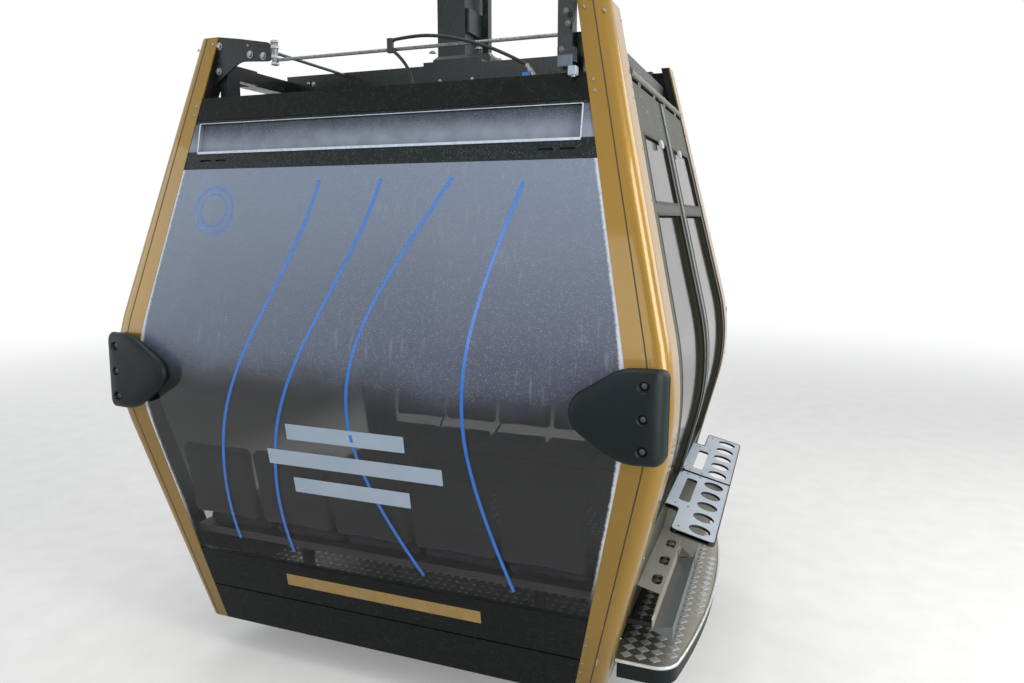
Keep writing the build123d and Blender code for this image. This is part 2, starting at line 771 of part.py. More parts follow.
with BuildPart() as hanger_arm:
    foot_face = frame_top + seat_gap + foot_plate + pedestal_height + seat_gap
    with BuildSketch(along_x) as arm_side:
        with BuildLine():
            route = FilletPolyline(
                (0, foot_face),
                (0, rope_to_foot - arm_bend_low),
                (pin_place, rope_to_foot - arm_bend_high),
                (pin_place, pin_height),
                radius=arm_bend_radius,
            )
        trace(route, arm_width)
    extrude(arm_side.sketch, arm_depth / 2, both=True)
    with BuildSketch(along_y):
        with BuildLine():
            Polyline(
                (-arm_depth / 2, foot_face),
                (arm_depth / 2, foot_face),
                (arm_depth / 2, rope_to_foot - arm_bend_high),
                (arm_head_depth / 2, pin_height - hub_radius / 2),
                (arm_head_depth / 2, pin_height + 1),
                (-arm_head_depth / 2, pin_height + 1),
                (-arm_head_depth / 2, pin_height - hub_radius / 2),
                (-arm_depth / 2, rope_to_foot - arm_bend_high),
                close=True,
            )
        make_face()
    extrude(amount=past_faces, both=True, mode=Mode.INTERSECT)
    with BuildSketch(Plane.YZ.offset(pin_place - arm_width / 2)):
        with Locations((0, foot_z + pin_height)):
            Circle(hub_radius)
    extrude(amount=arm_width)
    with BuildSketch(Plane.YZ.offset(pin_place)):
        with Locations((0, foot_z + pin_height)):
            Circle(pin_radius + seat_gap)
    extrude(amount=arm_width, both=True, mode=Mode.SUBTRACT)
write(hanger_arm.part, "hanger_arm")

# Damper beside the arm: a post on the foot, held to the arm's side by two pads
damper_size = 28.0
damper_depth = 40.0
damper_pad_wall = 15.0
damper_height = 420.0
damper_pad_low = 95.0
damper_pad_height = 100.0
damper_pad_pitch = 205.0
damper_edge = 14.0
damper_near = arm_width / 2 + seat_gap + damper_pad_wall
damper_back = arm_depth / 2
with BuildPart() as hanger_damper:
    with BuildSketch(level_plane(foot_face)):
        with Locations((damper_near + damper_size / 2, damper_back - damper_depth / 2)):
            Rectangle(damper_size, damper_depth)
    extrude(amount=damper_height)
    for low in (damper_pad_low, damper_pad_low + damper_pad_pitch):
        with BuildSketch(level_plane(foot_face + low)):
            with Locations((damper_near - damper_pad_wall / 2, damper_edge / 2)):
                Rectangle(damper_pad_wall, 2 * damper_back - damper_edge)
        extrude(amount=damper_pad_height)
write(hanger_damper.part, "hanger_damper")

# Door drive on the roof: columns and gussets by the pillars, ball joints and the rods between
column_right = 28.0
column_size = 50.0
column_wide = 54.0
column_inset = 43.0
column_over = 14.0
column_line = half_at(end_faces, beam_top) - column_inset
column_place = half_at(end_opening, pillar_height) - column_right
switch_size = 60.0
switch_height = 46.0
switch_depth = 26.0
switch_low = beam_top + 32.0
gusset_wall = 8.0
gusset_line = half_at(end_faces, pillar_height) - 10.0
rod_line = gusset_line + gusset_wall / 2
joint_place = -474.0
joint_radius = 13.0
joint_low = beam_top + 120.0
joint_height = 88.0
rod_radius = 6.5
rod_sides = 8
rod_height = beam_top + 135.0
link_height = frame_top - 10.0
with BuildPart() as drive_columns:
    with BuildSketch(level_plane(beam_top + seat_gap)):
        with Locations((column_place, -column_line)):
            Rectangle(column_size, column_wide)
    extrude(amount=pillar_height + column_over - beam_top)
    with BuildSketch(level_plane(switch_low)):
        with Locations((column_place + column_size / 4, -column_line - column_wide / 2 - switch_depth / 2)):
            Rectangle(switch_size, switch_depth)
    extrude(amount=switch_height)
    mirror(about=Plane.XZ)
write(drive_columns.part, "drive_columns")

gusset_end = joint_place - joint_radius - seat_gap
gusset_low = beam_top + 58.0
gusset_arm = 150.0
gusset_corner = 22.0
gusset_hollow = 70.0
with BuildPart() as drive_gussets:
    with BuildSketch(along_x.offset(gusset_line)) as gusset:
        with BuildLine():
            Polyline(
                (seat_gap - half_at(end_opening, pillar_height), pillar_height),
                (gusset_end - gusset_arm, pillar_height - 14),
                (gusset_end, pillar_height - 40),
                (gusset_end, pillar_height - 108),
                (gusset_end - gusset_arm, pillar_height - 99),
                (seat_gap - half_at(end_opening, gusset_low), gusset_low),
                close=True,
            )
        make_face()
        fillet(gusset.vertices().group_by(Axis.X)[-1], gusset_corner)
        inner_corners = gusset.vertices().filter_by(lambda vertex: abs(vertex.X - gusset_end + gusset_arm) < 1)
        fillet(inner_corners.sort_by(Axis.Y)[0], gusset_hollow)
    extrude(amount=gusset_wall)
    mirror(about=Plane.XZ)
write(drive_gussets.part, "drive_gussets")

with BuildPart() as drive_rods:
    for end in (-1, 1):
        with BuildSketch(level_plane(joint_low)):
            with Locations((joint_place, end * rod_line)):
                Circle(joint_radius)
        extrude(amount=joint_height)
        with BuildSketch(Plane.YZ.offset(joint_place)):
            with Locations((end * rod_line, foot_z + rod_height)):
                RegularPolygon(rod_radius, rod_sides)
        extrude(amount=column_place - column_size / 2 - seat_gap - joint_place)
        link_length = rod_line - member_place - member_wide / 2 - seat_gap
        with BuildSketch(Plane.XZ.offset(-end * rod_line)):
            with Locations((joint_place, foot_z + link_height)):
                RegularPolygon(rod_radius, rod_sides)
        extrude(amount=end * link_length)
write(drive_rods.part, "drive_rods")

# Roof cables: one up from the beam to a clip on the drive rod, one from the clip to its plug
cable_radius = 6.0
cable_sides = 8
clip_wall = 14.0
cable_line = rod_line + rod_radius + seat_gap + clip_wall / 2
clip_half = 9.0
clip_seat = 0.9
plug_half = 11.0
plug_length = 38.0
cable_plane = along_x.offset(cable_line)
clip_height = 164.0
cable_up = [
    (128.0, beam_top + seat_gap),
    (128.0, beam_top + 66.0),
    (54.0, beam_top + 126.0),
]
cable_over = [
    (44.0, beam_top + clip_height),
    (136.0, beam_top + clip_height + 10.0),
    (250.0, beam_top + clip_height),
    (360.0, beam_top + 136.0),
    (465.0, beam_top + 98.0),
    (562.0, beam_top + 47.0),
]


def cable_bends(points):
    """For each corner of a route the largest bend that leaves a tenth of its runs straight."""
    bends = []
    for before, corner, after in zip(points, points[1:], points[2:]):
        arriving = Vector(*corner) - Vector(*before)
        leaving = Vector(*after) - Vector(*corner)
        half_turn = math.radians(arriving.get_angle(leaving)) / 2
        bends.append(0.45 * min(arriving.length, leaving.length) / math.tan(half_turn))
    return bends


def face_across(points, half):
    """The two ends of a flat face square to a route's last run, just past its end."""
    end = Vector(*points[-1])
    onward = (end - Vector(*points[-2])).normalized()
    aside = Vector(-onward.Y, onward.X) * half
    start = end + onward * seat_gap
    return start + aside, start - aside, onward


with BuildPart() as roof_cables:
    for points in (cable_up, cable_over):
        bends = cable_bends(points)
        print("cable bends", [round(bend) for bend in bends])
        with BuildLine(cable_plane) as route:
            FilletPolyline(*points, radius=bends)
        with BuildSketch(Plane(origin=route.line @ 0, z_dir=route.line % 0)):
            RegularPolygon(cable_radius, cable_sides)
        sweep(path=route.line)
write(roof_cables.part, "roof_cables")

cube_size = 36.0
cube_place = half_at(end_opening, beam_top) - 34.0
cube_low = beam_top - 18.0
with BuildPart() as cable_fittings:
    with BuildSketch(cable_plane):
        with BuildLine():
            low_side, high_side, onward = face_across(cable_up, clip_half)
            clip_right = cable_over[0][0] - clip_seat
            clip_top = cable_over[0][1] + clip_half
            Polyline(
                (low_side.X, low_side.Y),
                (high_side.X, high_side.Y),
                (clip_right, cable_over[0][1] - clip_half),
                (clip_right, clip_top),
                (clip_right - 2 * clip_half, clip_top),
                (clip_right - 2 * clip_half, low_side.Y),
                close=True,
            )
        make_face()
        with BuildLine():
            top_side, under_side, onward = face_across(cable_over, plug_half)
            plug_end = top_side + onward * plug_length
            Polyline(
                (top_side.X, top_side.Y),
                (plug_end.X, plug_end.Y),
                (plug_end.X, beam_top + seat_gap),
                (under_side.X + plug_half, beam_top + seat_gap),
                (under_side.X, under_side.Y),
                close=True,
            )
        make_face()
    extrude(amount=clip_wall / 2, both=True)
    with BuildSketch(level_plane(cube_low)):
        with Locations((cube_place, -half_at(end_faces, cube_low) - seat_gap - cube_size / 2)):
            Rectangle(cube_size, cube_size)
    extrude(amount=cube_size)
write(cable_fittings.part, "cable_fittings")

# Rope grip: a body with the fixed jaw, a sprung jaw above it, running wheels and a lever roller
rope_radius = 25.0
jaw_wall = 20.0
jaw_half = 150.0
moving_jaw_half = 80.0
jaw_gap = 3.0
fixed_jaw_start = 92.0
fixed_jaw_end = 220.0
moving_jaw_start = -40.0
moving_jaw_end = 86.0
block_near = -40.0
block_far = -145.0
block_half = 70.0
block_low = -75.0
block_top = 60.0
beam_half = 240.0
wheel_beam_near = -85.0
wheel_beam_low = -10.0
pivot_x = -20.0
pivot_z = 96.0
pivot_radius = 14.0
lug_wall = 20.0
lug_gap = 46.0
lug_radius = 32.0
barrel_radius = 30.0
wheel_line = 25.0
wheel_place = 200.0
wheel_radius = 85.0
wheel_near = -172.0
wheel_wall = 44.0
wheel_sides = 36
bore_sides = 24
axle_radius = 15.0
lever_roller_x = -300.0
lever_roller_z = 190.0
lever_half = 20.0
lever_roller_radius = 36.0
washer_edge = 22.0
washer_wall = 16.0
pin_end = pin_place - arm_width / 2 - moving_gap
pin_z = foot_z + pin_height


def jaw_section(start, end):
    """The cut through a jaw that holds the rope from one angle to the next."""
    with BuildSketch(Plane.XZ) as section:
        Circle(rope_radius + jaw_wall)
        Circle(rope_radius, mode=Mode.SUBTRACT)
        reach = 3 * (rope_radius + jaw_wall)
        middle = (start + end) / 2
        with BuildLine():
            Polyline(
                (0, 0),
                (reach * math.cos(math.radians(start)), reach * math.sin(math.radians(start))),
                (reach * math.cos(math.radians(middle)), reach * math.sin(math.radians(middle))),
                (reach * math.cos(math.radians(end)), reach * math.sin(math.radians(end))),
                close=True,
            )
        make_face(mode=Mode.INTERSECT)
    return section.sketch


with BuildPart() as grip_body:
    extrude(jaw_section(fixed_jaw_start, fixed_jaw_end), jaw_half, both=True)
    with BuildSketch(Plane.XZ):
        with BuildLine():
            Polyline(
                (-rope_radius - jaw_wall / 2, rope_radius),
                (block_near, block_top),
                (block_far, block_top),
                (block_far, block_low),
                (block_near - 20, block_low),
                (-rope_radius - jaw_wall / 2, -rope_radius / 2),
                close=True,
            )
        make_face()
    extrude(amount=block_half, both=True)
    with BuildSketch(Plane.XZ):
        with Locations(((wheel_beam_near + block_far) / 2, (wheel_beam_low + block_top) / 2)):
            Rectangle(wheel_beam_near - block_far, block_top - wheel_beam_low)
    extrude(amount=beam_half, both=True)
    for end in (-1, 1):
        with BuildSketch(Plane.XZ.offset(-end * lug_gap)) as lug:
            with BuildLine():
                Polyline(
                    (pivot_x + lug_radius - 4, pivot_z),
                    (pivot_x - lug_radius + 4, pivot_z),
                    (block_far, block_top - 10),
                    (block_near, block_top - 40),
                    close=True,
                )
            make_face()
            with Locations((pivot_x, pivot_z)):
                Circle(lug_radius)
        extrude(amount=-end * lug_wall)
        with BuildSketch(Plane.XZ.offset(-end * (lug_gap + lug_wall))):
            with Locations((pivot_x, pivot_z)):
                RegularPolygon(barrel_radius, bore_sides)
        extrude(amount=-end * (beam_half - lug_gap - lug_wall - 30))
    with BuildSketch(Plane.XZ):
        with Locations((pivot_x, pivot_z)):
            Circle(pivot_radius)
    extrude(amount=lug_gap, both=True)
    with BuildSketch(Plane.XZ):
        Circle(rope_radius)
    extrude(amount=past_faces, both=True, mode=Mode.SUBTRACT)
    with BuildSketch(Plane.YZ.offset(pin_end)):
        with Locations((0, pin_z)):
            Circle(pin_radius)
    extrude(amount=block_far - pin_end)
    for end in (-1, 1):
        with BuildSketch(Plane.YZ.offset(wheel_near - wheel_wall)):
            with Locations((end * wheel_place, wheel_line)):
                Circle(axle_radius)
        extrude(amount=block_far - wheel_near + wheel_wall)
write(grip_body.part, "grip_body")

with BuildPart() as pin_washer:
    with BuildSketch(Plane.YZ.offset(pin_end - seat_gap)):
        with Locations((0, pin_z)):
            RegularPolygon(pin_radius + washer_edge, bore_sides)
    extrude(amount=-washer_wall)
write(pin_washer.part, "pin_washer")

with BuildPart() as grip_jaw:
    extrude(jaw_section(moving_jaw_start, moving_jaw_end), moving_jaw_half, both=True)
    with BuildSketch(Plane.XZ):
        with BuildLine():
            Polyline(
                (rope_radius + jaw_wall - 8, 8),
                (pivot_x + lug_radius, pivot_z),
                (pivot_x, pivot_z + lug_radius - 6),
                (lever_roller_x, lever_roller_z + 24),
                (lever_roller_x, lever_roller_z - 24),
                (pivot_x - lug_radius, pivot_z - 12),
                (pivot_x, pivot_z - lug_radius),
                (rope_radius * 0.4, rope_radius + jaw_wall / 2),
                close=True,
            )
        make_face()
    extrude(amount=lever_half, both=True)
    with BuildSketch(Plane.XZ):
        with Locations((pivot_x, pivot_z)):
            Circle(lug_radius - 4)
    extrude(amount=lug_gap - 4, both=True)
    with BuildSketch(Plane.XZ):
        Circle(rope_radius)
        with Locations((pivot_x, pivot_z)):
            Circle(pivot_radius + seat_gap)
    extrude(amount=past_faces, both=True, mode=Mode.SUBTRACT)
    with BuildSketch(Plane.YZ.offset(lever_roller_x)):
        with Locations((0, lever_roller_z)):
            Circle(axle_radius)
    extrude(amount=-60)
write(grip_jaw.part, "grip_jaw")

for name, end in (("running_wheel_front", -1), ("running_wheel_rear", 1)):
    with BuildPart() as wheel:
        with BuildSketch(Plane.YZ.offset(wheel_near)):
            with Locations((end * wheel_place, wheel_line)):
                RegularPolygon(wheel_radius, wheel_sides)
                RegularPolygon(axle_radius + seat_gap, bore_sides, major_radius=False, mode=Mode.SUBTRACT)
        extrude(amount=-wheel_wall)
    write(wheel.part, name)

with BuildPart() as lever_roller:
    with BuildSketch(Plane.YZ.offset(lever_roller_x - moving_gap)):
        with Locations((0, lever_roller_z)):
            RegularPolygon(lever_roller_radius, bore_sides)
            RegularPolygon(axle_radius + seat_gap, bore_sides, major_radius=False, mode=Mode.SUBTRACT)
    extrude(amount=-46)
write(lever_roller.part, "lever_roller")
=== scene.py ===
import math

import bmesh
import bpy
from mathutils import Matrix, Vector
from mathutils.bvhtree import BVHTree


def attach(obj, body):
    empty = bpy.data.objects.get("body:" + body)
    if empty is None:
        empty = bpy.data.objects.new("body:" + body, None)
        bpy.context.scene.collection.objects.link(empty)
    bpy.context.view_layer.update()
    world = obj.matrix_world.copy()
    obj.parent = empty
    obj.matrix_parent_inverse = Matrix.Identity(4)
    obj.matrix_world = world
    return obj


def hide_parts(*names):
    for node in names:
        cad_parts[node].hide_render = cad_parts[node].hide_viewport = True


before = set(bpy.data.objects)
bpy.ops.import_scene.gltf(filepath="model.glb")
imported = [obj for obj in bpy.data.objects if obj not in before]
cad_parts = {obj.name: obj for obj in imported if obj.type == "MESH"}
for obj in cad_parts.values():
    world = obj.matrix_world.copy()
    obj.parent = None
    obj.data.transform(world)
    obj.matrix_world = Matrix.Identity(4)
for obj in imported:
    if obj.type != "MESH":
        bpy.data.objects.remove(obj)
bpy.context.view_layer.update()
scene = bpy.context.scene

# Camera: beside the doors at standing eye height, looking a little down at the corner between
# the doors and the front wall.
camera_data = bpy.data.cameras.new("camera")
camera_data.sensor_width = 36.0
camera_data.lens = 26.4
camera = bpy.data.objects.new("camera", camera_data)
camera.location = (1.458, -3.22, -2.636)
camera.rotation_euler = (math.radians(90 - 9.19), 0, math.radians(20.65))
scene.collection.objects.link(camera)
scene.camera = camera
scene.view_settings.view_transform = "Standard"

# Cords: two control leads in black sheathing along the roof's front edge. One runs up from the
# beam to the clip on the drive rod, and one from that clip over to its plug.
FOOT = -4.35  # level of the pillars' foot, under the centre line of the rope


def worked(tree, operation, *terms):
    """A Math node on fields and plain numbers."""
    made = tree.nodes.new("ShaderNodeMath")
    made.operation = operation
    for socket, term in zip(made.inputs, terms):
        join(tree, socket, term)
    return Field(tree, made.outputs[0])


class Field:
    """A varying number in one material. Arithmetic with it adds Math nodes."""

    def __init__(self, tree, socket):
        self.tree = tree
        self.socket = socket

    def math(self, operation, *others):
        return worked(self.tree, operation, self, *others)

    def __add__(self, other):
        return self.math("ADD", other)

    def __radd__(self, other):
        return worked(self.tree, "ADD", other, self)

    def __sub__(self, other):
        return self.math("SUBTRACT", other)

    def __rsub__(self, other):
        return worked(self.tree, "SUBTRACT", other, self)

    def __mul__(self, other):
        return self.math("MULTIPLY", other)

    def __rmul__(self, other):
        return worked(self.tree, "MULTIPLY", other, self)

    def __abs__(self):
        return self.math("ABSOLUTE")


def join(tree, socket, term):
    """Links a field to a socket, or sets a plain value on it."""
    if isinstance(term, Field):
        tree.links.new(term.socket, socket)
    else:
        socket.default_value = term


class Finish:
    """A material of one Principled shader. Keyword values are the same all over the surface."""

    def __init__(self, name, **fixed):
        self.material = bpy.data.materials.new(name)
        self.material.use_nodes = True
        self.tree = self.material.node_tree
        self.shader = self.tree.nodes["Principled BSDF"]
        for key, value in fixed.items():
            self.shader.inputs[key.replace("_", " ")].default_value = value
        self.place = self.node("ShaderNodeTexCoord", output="Object")
        split = self.tree.nodes.new("ShaderNodeSeparateXYZ")
        join(self.tree, split.inputs[0], self.place)
        self.x, self.y, self.z = (Field(self.tree, split.outputs[axis]) for axis in range(3))
        self.height = self.z - FOOT

    def node(self, kind, output=0, wires=None, **settings):
        """Any other node: its settings by name, its inputs by wires, and one of its outputs."""
        made = self.tree.nodes.new(kind)
        for key, value in settings.items():
            setattr(made, key, value)
        for socket, term in (wires or {}).items():
            join(self.tree, made.inputs[socket], term)
        return Field(self.tree, made.outputs[output])

    def noise(self, scale, detail=2.0, stretch=(1, 1, 1)):
        wires = {0: self.place, 1: stretch}
        place = self.node("ShaderNodeVectorMath", wires=wires, operation="MULTIPLY")
        wires = {"Vector": place, "Scale": scale, "Detail": detail}
        return self.node("ShaderNodeTexNoise", wires=wires)

    def cells(self, scale, feature="F1"):
        """The distance from a point to the middle of its cell."""
        wires = {"Vector": self.place, "Scale": scale}
        return self.node("ShaderNodeTexVoronoi", output="Distance", wires=wires, feature=feature)

    def facing(self, way):
        """How squarely the surface looks one way."""
        wires = {0: self.node("ShaderNodeNewGeometry", output="Normal"), 1: way}
        return self.node("ShaderNodeVectorMath", "Value", wires, operation="DOT_PRODUCT")

    def ramp(self, value, low, high):
        """0 below low, 1 above high and smooth between them, or the other way round."""
        wires = {"Value": value, "From Min": low, "From Max": high}
        return self.node("ShaderNodeMapRange", wires=wires, interpolation_type="SMOOTHSTEP")

    def mix(self, share, first, second):
        wires = {0: share, 6: first, 7: second}
        return self.node("ShaderNodeMix", output=2, wires=wires, data_type="RGBA")

    def wire(self, socket, value):
        join(self.tree, self.shader.inputs[socket], value)

    def bump(self, height, distance):
        wires = {"Height": height, "Distance": distance}
        self.wire("Normal", self.node("ShaderNodeBump", wires=wires))


def colour(red, green, blue):
    """A linear colour from the 0 to 255 values that the eye sees."""
    return tuple(((value / 255 + 0.055) / 1.055) ** 2.4 for value in (red, green, blue)) + (1.0,)


def mottled(name, cloud, dark, light, rough=None, grain=None, depth=None, **fixed):
    """A finish that clouds from one colour to another. cloud is its noise's scale and detail,
    rough is the least roughness and what the cloud adds, and the grain stands depth high."""
    made = Finish(name, **fixed)
    made.cloud = made.noise(*cloud)
    made.wire("Base Color", made.mix(made.cloud, colour(*dark), colour(*light)))
    if rough:
        made.wire("Roughness", rough[0] + made.cloud * rough[1])
    if depth:
        made.bump(made.noise(*grain) if grain else made.cloud, depth)
    return made


CABLE_DIAMETER = 0.012
CABLE_LINE = -0.7078
CABLE_ROUTES = {
    "cable_up": (0.152, [(0.128, 2.1903), (0.128, 2.256), (0.054, 2.316)]),
    "cable_over": (
        0.540,
        [
            (0.044, 2.354),
            (0.136, 2.364),
            (0.250, 2.354),
            (0.360, 2.326),
            (0.465, 2.288),
            (0.562, 2.237),
        ],
    ),
}
sheath = mottled(
    "cable_sheath",
    cloud=(900.0,),
    dark=(11, 13, 14),
    light=(28, 31, 33),
    depth=0.0003,
    Roughness=0.42,
    Specular_IOR_Level=0.3,
)
for name, (length, route) in CABLE_ROUTES.items():
    curve = bpy.data.curves.new(name, "CURVE")
    curve.dimensions = "3D"
    curve.bevel_depth = CABLE_DIAMETER / 2
    curve.bevel_resolution = 5
    curve.use_fill_caps = True
    spline = curve.splines.new("NURBS")
    spline.points.add(len(route) - 1)
    for point, (across, height) in zip(spline.points, route):
        point.co = (across, CABLE_LINE, FOOT + height, 1.0)
    spline.order_u = 3
    spline.use_endpoint_u = True
    spline.resolution_u = 16
    curve.materials.append(sheath.material)
    cable = bpy.data.objects.new(name, curve)
    scene.collection.objects.link(cable)
    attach(cable, "cabin")
    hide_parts("roof_cables")

# Studio: a pale floor under the hanging cabin that fades into the white round it, soft light
# from above and from both sides, and a tall strip that shows in the round of the pillars.
STUDIO_REACH = 14.0
FLOOR_DROP = 0.16
FADE_START, FADE_END = 3.0, 12.0


def seen_plainly(tree):
    """1 for the rays of the eye, of gloss and of glass, and 0 for those that light the cabin."""
    rays = tree.nodes.new("ShaderNodeLightPath")
    eye, gloss, glass = (
        Field(tree, rays.outputs[f"Is {kind} Ray"]) for kind in ("Camera", "Glossy", "Transmission")
    )
    return eye.math("MAXIMUM", gloss).math("MAXIMUM", glass)


def as_object(name, made, finish=None):
    """A mesh that is made up, as an object of the scene."""
    mesh = bpy.data.meshes.new(name)
    made.to_mesh(mesh)
    made.free()
    if finish:
        mesh.materials.append(finish.material)
    item = bpy.data.objects.new(name, mesh)
    scene.collection.objects.link(item)
    return item


concrete = mottled(
    "studio_floor",
    cloud=(6.0, 5.0),
    dark=(196, 195, 192),
    light=(214, 213, 210),
    Roughness=0.75,
    Emission_Strength=1.0,
)
from_middle = (concrete.x * concrete.x + concrete.y * concrete.y).math("SQRT")
far_out = concrete.ramp(from_middle, FADE_START, FADE_END)
glow = concrete.mix(far_out, (0.20, 0.20, 0.196, 1), (0.74, 0.74, 0.74, 1))
concrete.wire("Emission Color", concrete.mix(seen_plainly(concrete.tree), (0, 0, 0, 1), glow))
floor_shape = bmesh.new()
bmesh.ops.create_grid(floor_shape, x_segments=1, y_segments=1, size=STUDIO_REACH)
floor = as_object("studio_floor", floor_shape, concrete)
floor.location = (0, 0, FOOT - FLOOR_DROP)

world = bpy.data.worlds.new("studio")
world.use_nodes = True
scene.world = world
air = world.node_tree
sky = air.nodes["Background"]
sky.inputs["Color"].default_value = (0.86, 0.90, 1.0, 1.0)
sky.inputs["Strength"].default_value = 0.32
backdrop = air.nodes.new("ShaderNodeBackground")
backdrop.inputs["Color"].default_value = (1.0, 1.0, 1.0, 1.0)
chooser = air.nodes.new("ShaderNodeMixShader")
join(air, chooser.inputs[0], seen_plainly(air))
air.links.new(sky.outputs[0], chooser.inputs[1])
air.links.new(backdrop.outputs[0], chooser.inputs[2])
air.links.new(chooser.outputs[0], air.nodes["World Output"].inputs[0])

# Each lamp's name, place, aim, width, height, power and colour
LAMPS = [
    ("lamp_over", (-0.6, -1.5, 2.2), (0, 0, -3.0), 4.5, 3.0, 150.0, (1.0, 0.98, 0.95)),
    ("lamp_left", (-4.8, -3.2, -2.2), (-0.4, 0, -3.3), 2.4, 3.4, 52.0, (0.90, 0.95, 1.0)),
    ("lamp_front", (-0.5, -6.5, -1.2), (0, -1.0, -3.2), 4.0, 2.0, 55.0, (0.94, 0.96, 1.0)),
    ("lamp_strip", (4.0, -2.0, -2.2), (0.9, -0.5, -3.0), 1.3, 3.8, 150.0, (1.0, 1.0, 1.0)),
    ("lamp_doors", (4.6, 2.0, -1.2), (0.9, 0, -3.2), 2.6, 3.0, 95.0, (1.0, 0.99, 0.97)),
    ("lamp_back", (-3.5, 4.5, 0.0), (0, 0.4, -3.0), 4.0, 3.0, 110.0, (0.95, 0.97, 1.0)),
]
for name, place, aim, wide, high, power, shade in LAMPS:
    light = bpy.data.lights.new(name, "AREA")
    light.shape = "RECTANGLE"
    light.size = wide
    light.size_y = high
    light.energy = power
    light.color = shade
    lamp = bpy.data.objects.new(name, light)
    lamp.location = place
    lamp.rotation_euler = (Vector(aim) - Vector(place)).to_track_quat("-Z", "Y").to_euler()
    scene.collection.objects.link(lamp)

# Corner pillars: aluminium profiles bent at the waist, in gold gloss paint with fine flake under
# clear lacquer, with road film at the foot and a little wear low down. Inside they are black.
WAIST = 1.12
RISE = 1.31  # from the waist to the head of the walls
# Half widths of the walls and of the openings between the pillars, at the foot, waist and
# head, and the radius of the bend at the waist
SIDE_FACES = (0.885, 1.160, 0.842, 0.980)
END_FACES = (0.800, 1.000, 0.700, 1.170)
SIDE_OPENING = (0.660, 0.825, 0.540, 1.170)
END_OPENING = (0.784, 1.010, 0.736, 0.980)
BEND_EASE = 0.18  # how softly the edge of an opening turns at the waist
END_NAMES = {-1: "front", 1: "rear"}
SIDE_NAMES = {-1: "left", 1: "right"}
CORNERS = [(end, side) for end in END_NAMES for side in SIDE_NAMES]


def half_width(faces, height):
    """Half the distance between two opposite bent faces at a height."""
    foot, waist, head, bend = faces
    low_lean = math.atan((waist - foot) / WAIST)
    high_lean = math.atan((head - waist) / RISE)
    tangent = bend * math.tan((low_lean - high_lean) / 2)
    low_end = WAIST - tangent * math.cos(low_lean)
    high_end = WAIST + tangent * math.cos(high_lean)
    if height <= low_end:
        return foot + math.tan(low_lean) * height
    if height >= high_end:
        return waist + math.tan(high_lean) * (height - WAIST)
    middle = foot + math.tan(low_lean) * low_end - bend * math.cos(low_lean)
    level = low_end + bend * math.sin(low_lean)
    return middle + math.sqrt(bend**2 - (height - level) ** 2)


def edge_distance(finish, along, opening):
    """How far a point lies inside the bent edge of an opening."""
    foot, waist, head, _ = opening
    low = foot + finish.height * ((waist - foot) / WAIST)
    high = waist + (finish.height - WAIST) * ((head - waist) / RISE)
    return low.math("SMOOTH_MIN", high, BEND_EASE) - abs(along)


def dress(nodes, finish):
    """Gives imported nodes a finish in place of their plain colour."""
    for node in nodes:
        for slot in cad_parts[node].material_slots:
            slot.material = finish.material


gold = Finish("gold_lacquer", Metallic=0.3, Coat_Roughness=0.05, Specular_IOR_Level=0.3)
gold_cloud = gold.noise(2.2, 3.0)
gold_flake = gold.noise(1400.0)
gold_scuff = gold.ramp(gold.noise(55.0, 6.0, (1, 1, 0.25)), 0.66, 0.74)
gold_scuff = gold_scuff * gold.ramp(gold.height, 0.75, 0.05)
gold_road = gold.ramp(gold.height, 0.5, 0.0) * gold.noise(18.0, 5.0) * 0.6
gold_base = gold.mix(gold_cloud, colour(120, 90, 12), colour(142, 108, 22))
gold_base = gold.mix(gold_flake * 0.14, gold_base, colour(186, 146, 56))
gold_base = gold.mix(gold_road, gold_base, colour(96, 74, 40))
gold_base = gold.mix(gold_scuff, gold_base, colour(150, 140, 120))
gold_depth = edge_distance(gold, gold.x, SIDE_FACES)
gold_depth = gold_depth.math("MINIMUM", edge_distance(gold, gold.y, END_FACES))
gold_aside = gold.facing((1, 0, 0)) * gold.x.math("SIGN")
gold_along = gold.facing((0, 1, 0)) * gold.y.math("SIGN")
gold_out = gold.ramp(gold_aside.math("MAXIMUM", gold_along), 0.12, 0.30)
gold_turned = (1.0 - gold_out) * gold.ramp(gold_depth, 0.004, 0.008)
gold_inside = gold.ramp(gold_depth, 0.033, 0.038).math("MAXIMUM", gold_turned)
gold.wire("Base Color", gold.mix(gold_inside, gold_base, colour(15, 16, 17)))
gold.wire("Roughness", 0.28 + gold_cloud * 0.10 + gold_scuff * 0.3 + gold_inside * 0.2)
gold.wire("Coat Weight", (0.6 - gold_scuff * 0.5) * (1.0 - gold_inside * 0.8))
gold.bump(gold.noise(160.0) + gold_flake * 0.15, 0.0004)
dress([f"corner_pillar_{END_NAMES[end]}_{SIDE_NAMES[side]}" for end, side in CORNERS], gold)

# Pillar seams: each pillar is two folded profiles, and the joint between them shows on its end
# face as a dark line midway between its outer edge and the pane.
PILLAR_TOP = 2.43


def spread(low, high, count):
    """Evenly spaced numbers from low to high, both among them."""
    return [low + (high - low) * step / count for step in range(count + 1)]


def on_end(across, height, proud=0.0, end=-1):
    """A point on an end wall's outer face, or so far outside it."""
    return Vector((across, end * (half_width(END_FACES, height) + proud), FOOT + height))


def on_side(along, height, proud=0.0, side=1):
    """A point on a side wall's outer face, or so far outside it."""
    return Vector((side * (half_width(SIDE_FACES, height) + proud), along, FOOT + height))


def skin(made, rings, capped=True, sides=None):
    """Faces from each ring of vertices to the next, and over the first and last of them."""
    for low, high in zip(rings, rings[1:]):
        for step in range(sides or len(low)):
            after = (step + 1) % len(low)
            made.faces.new((low[step], low[after], high[after], high[step]))
    if capped:
        made.faces.new(rings[0])
        made.faces.new(rings[-1])


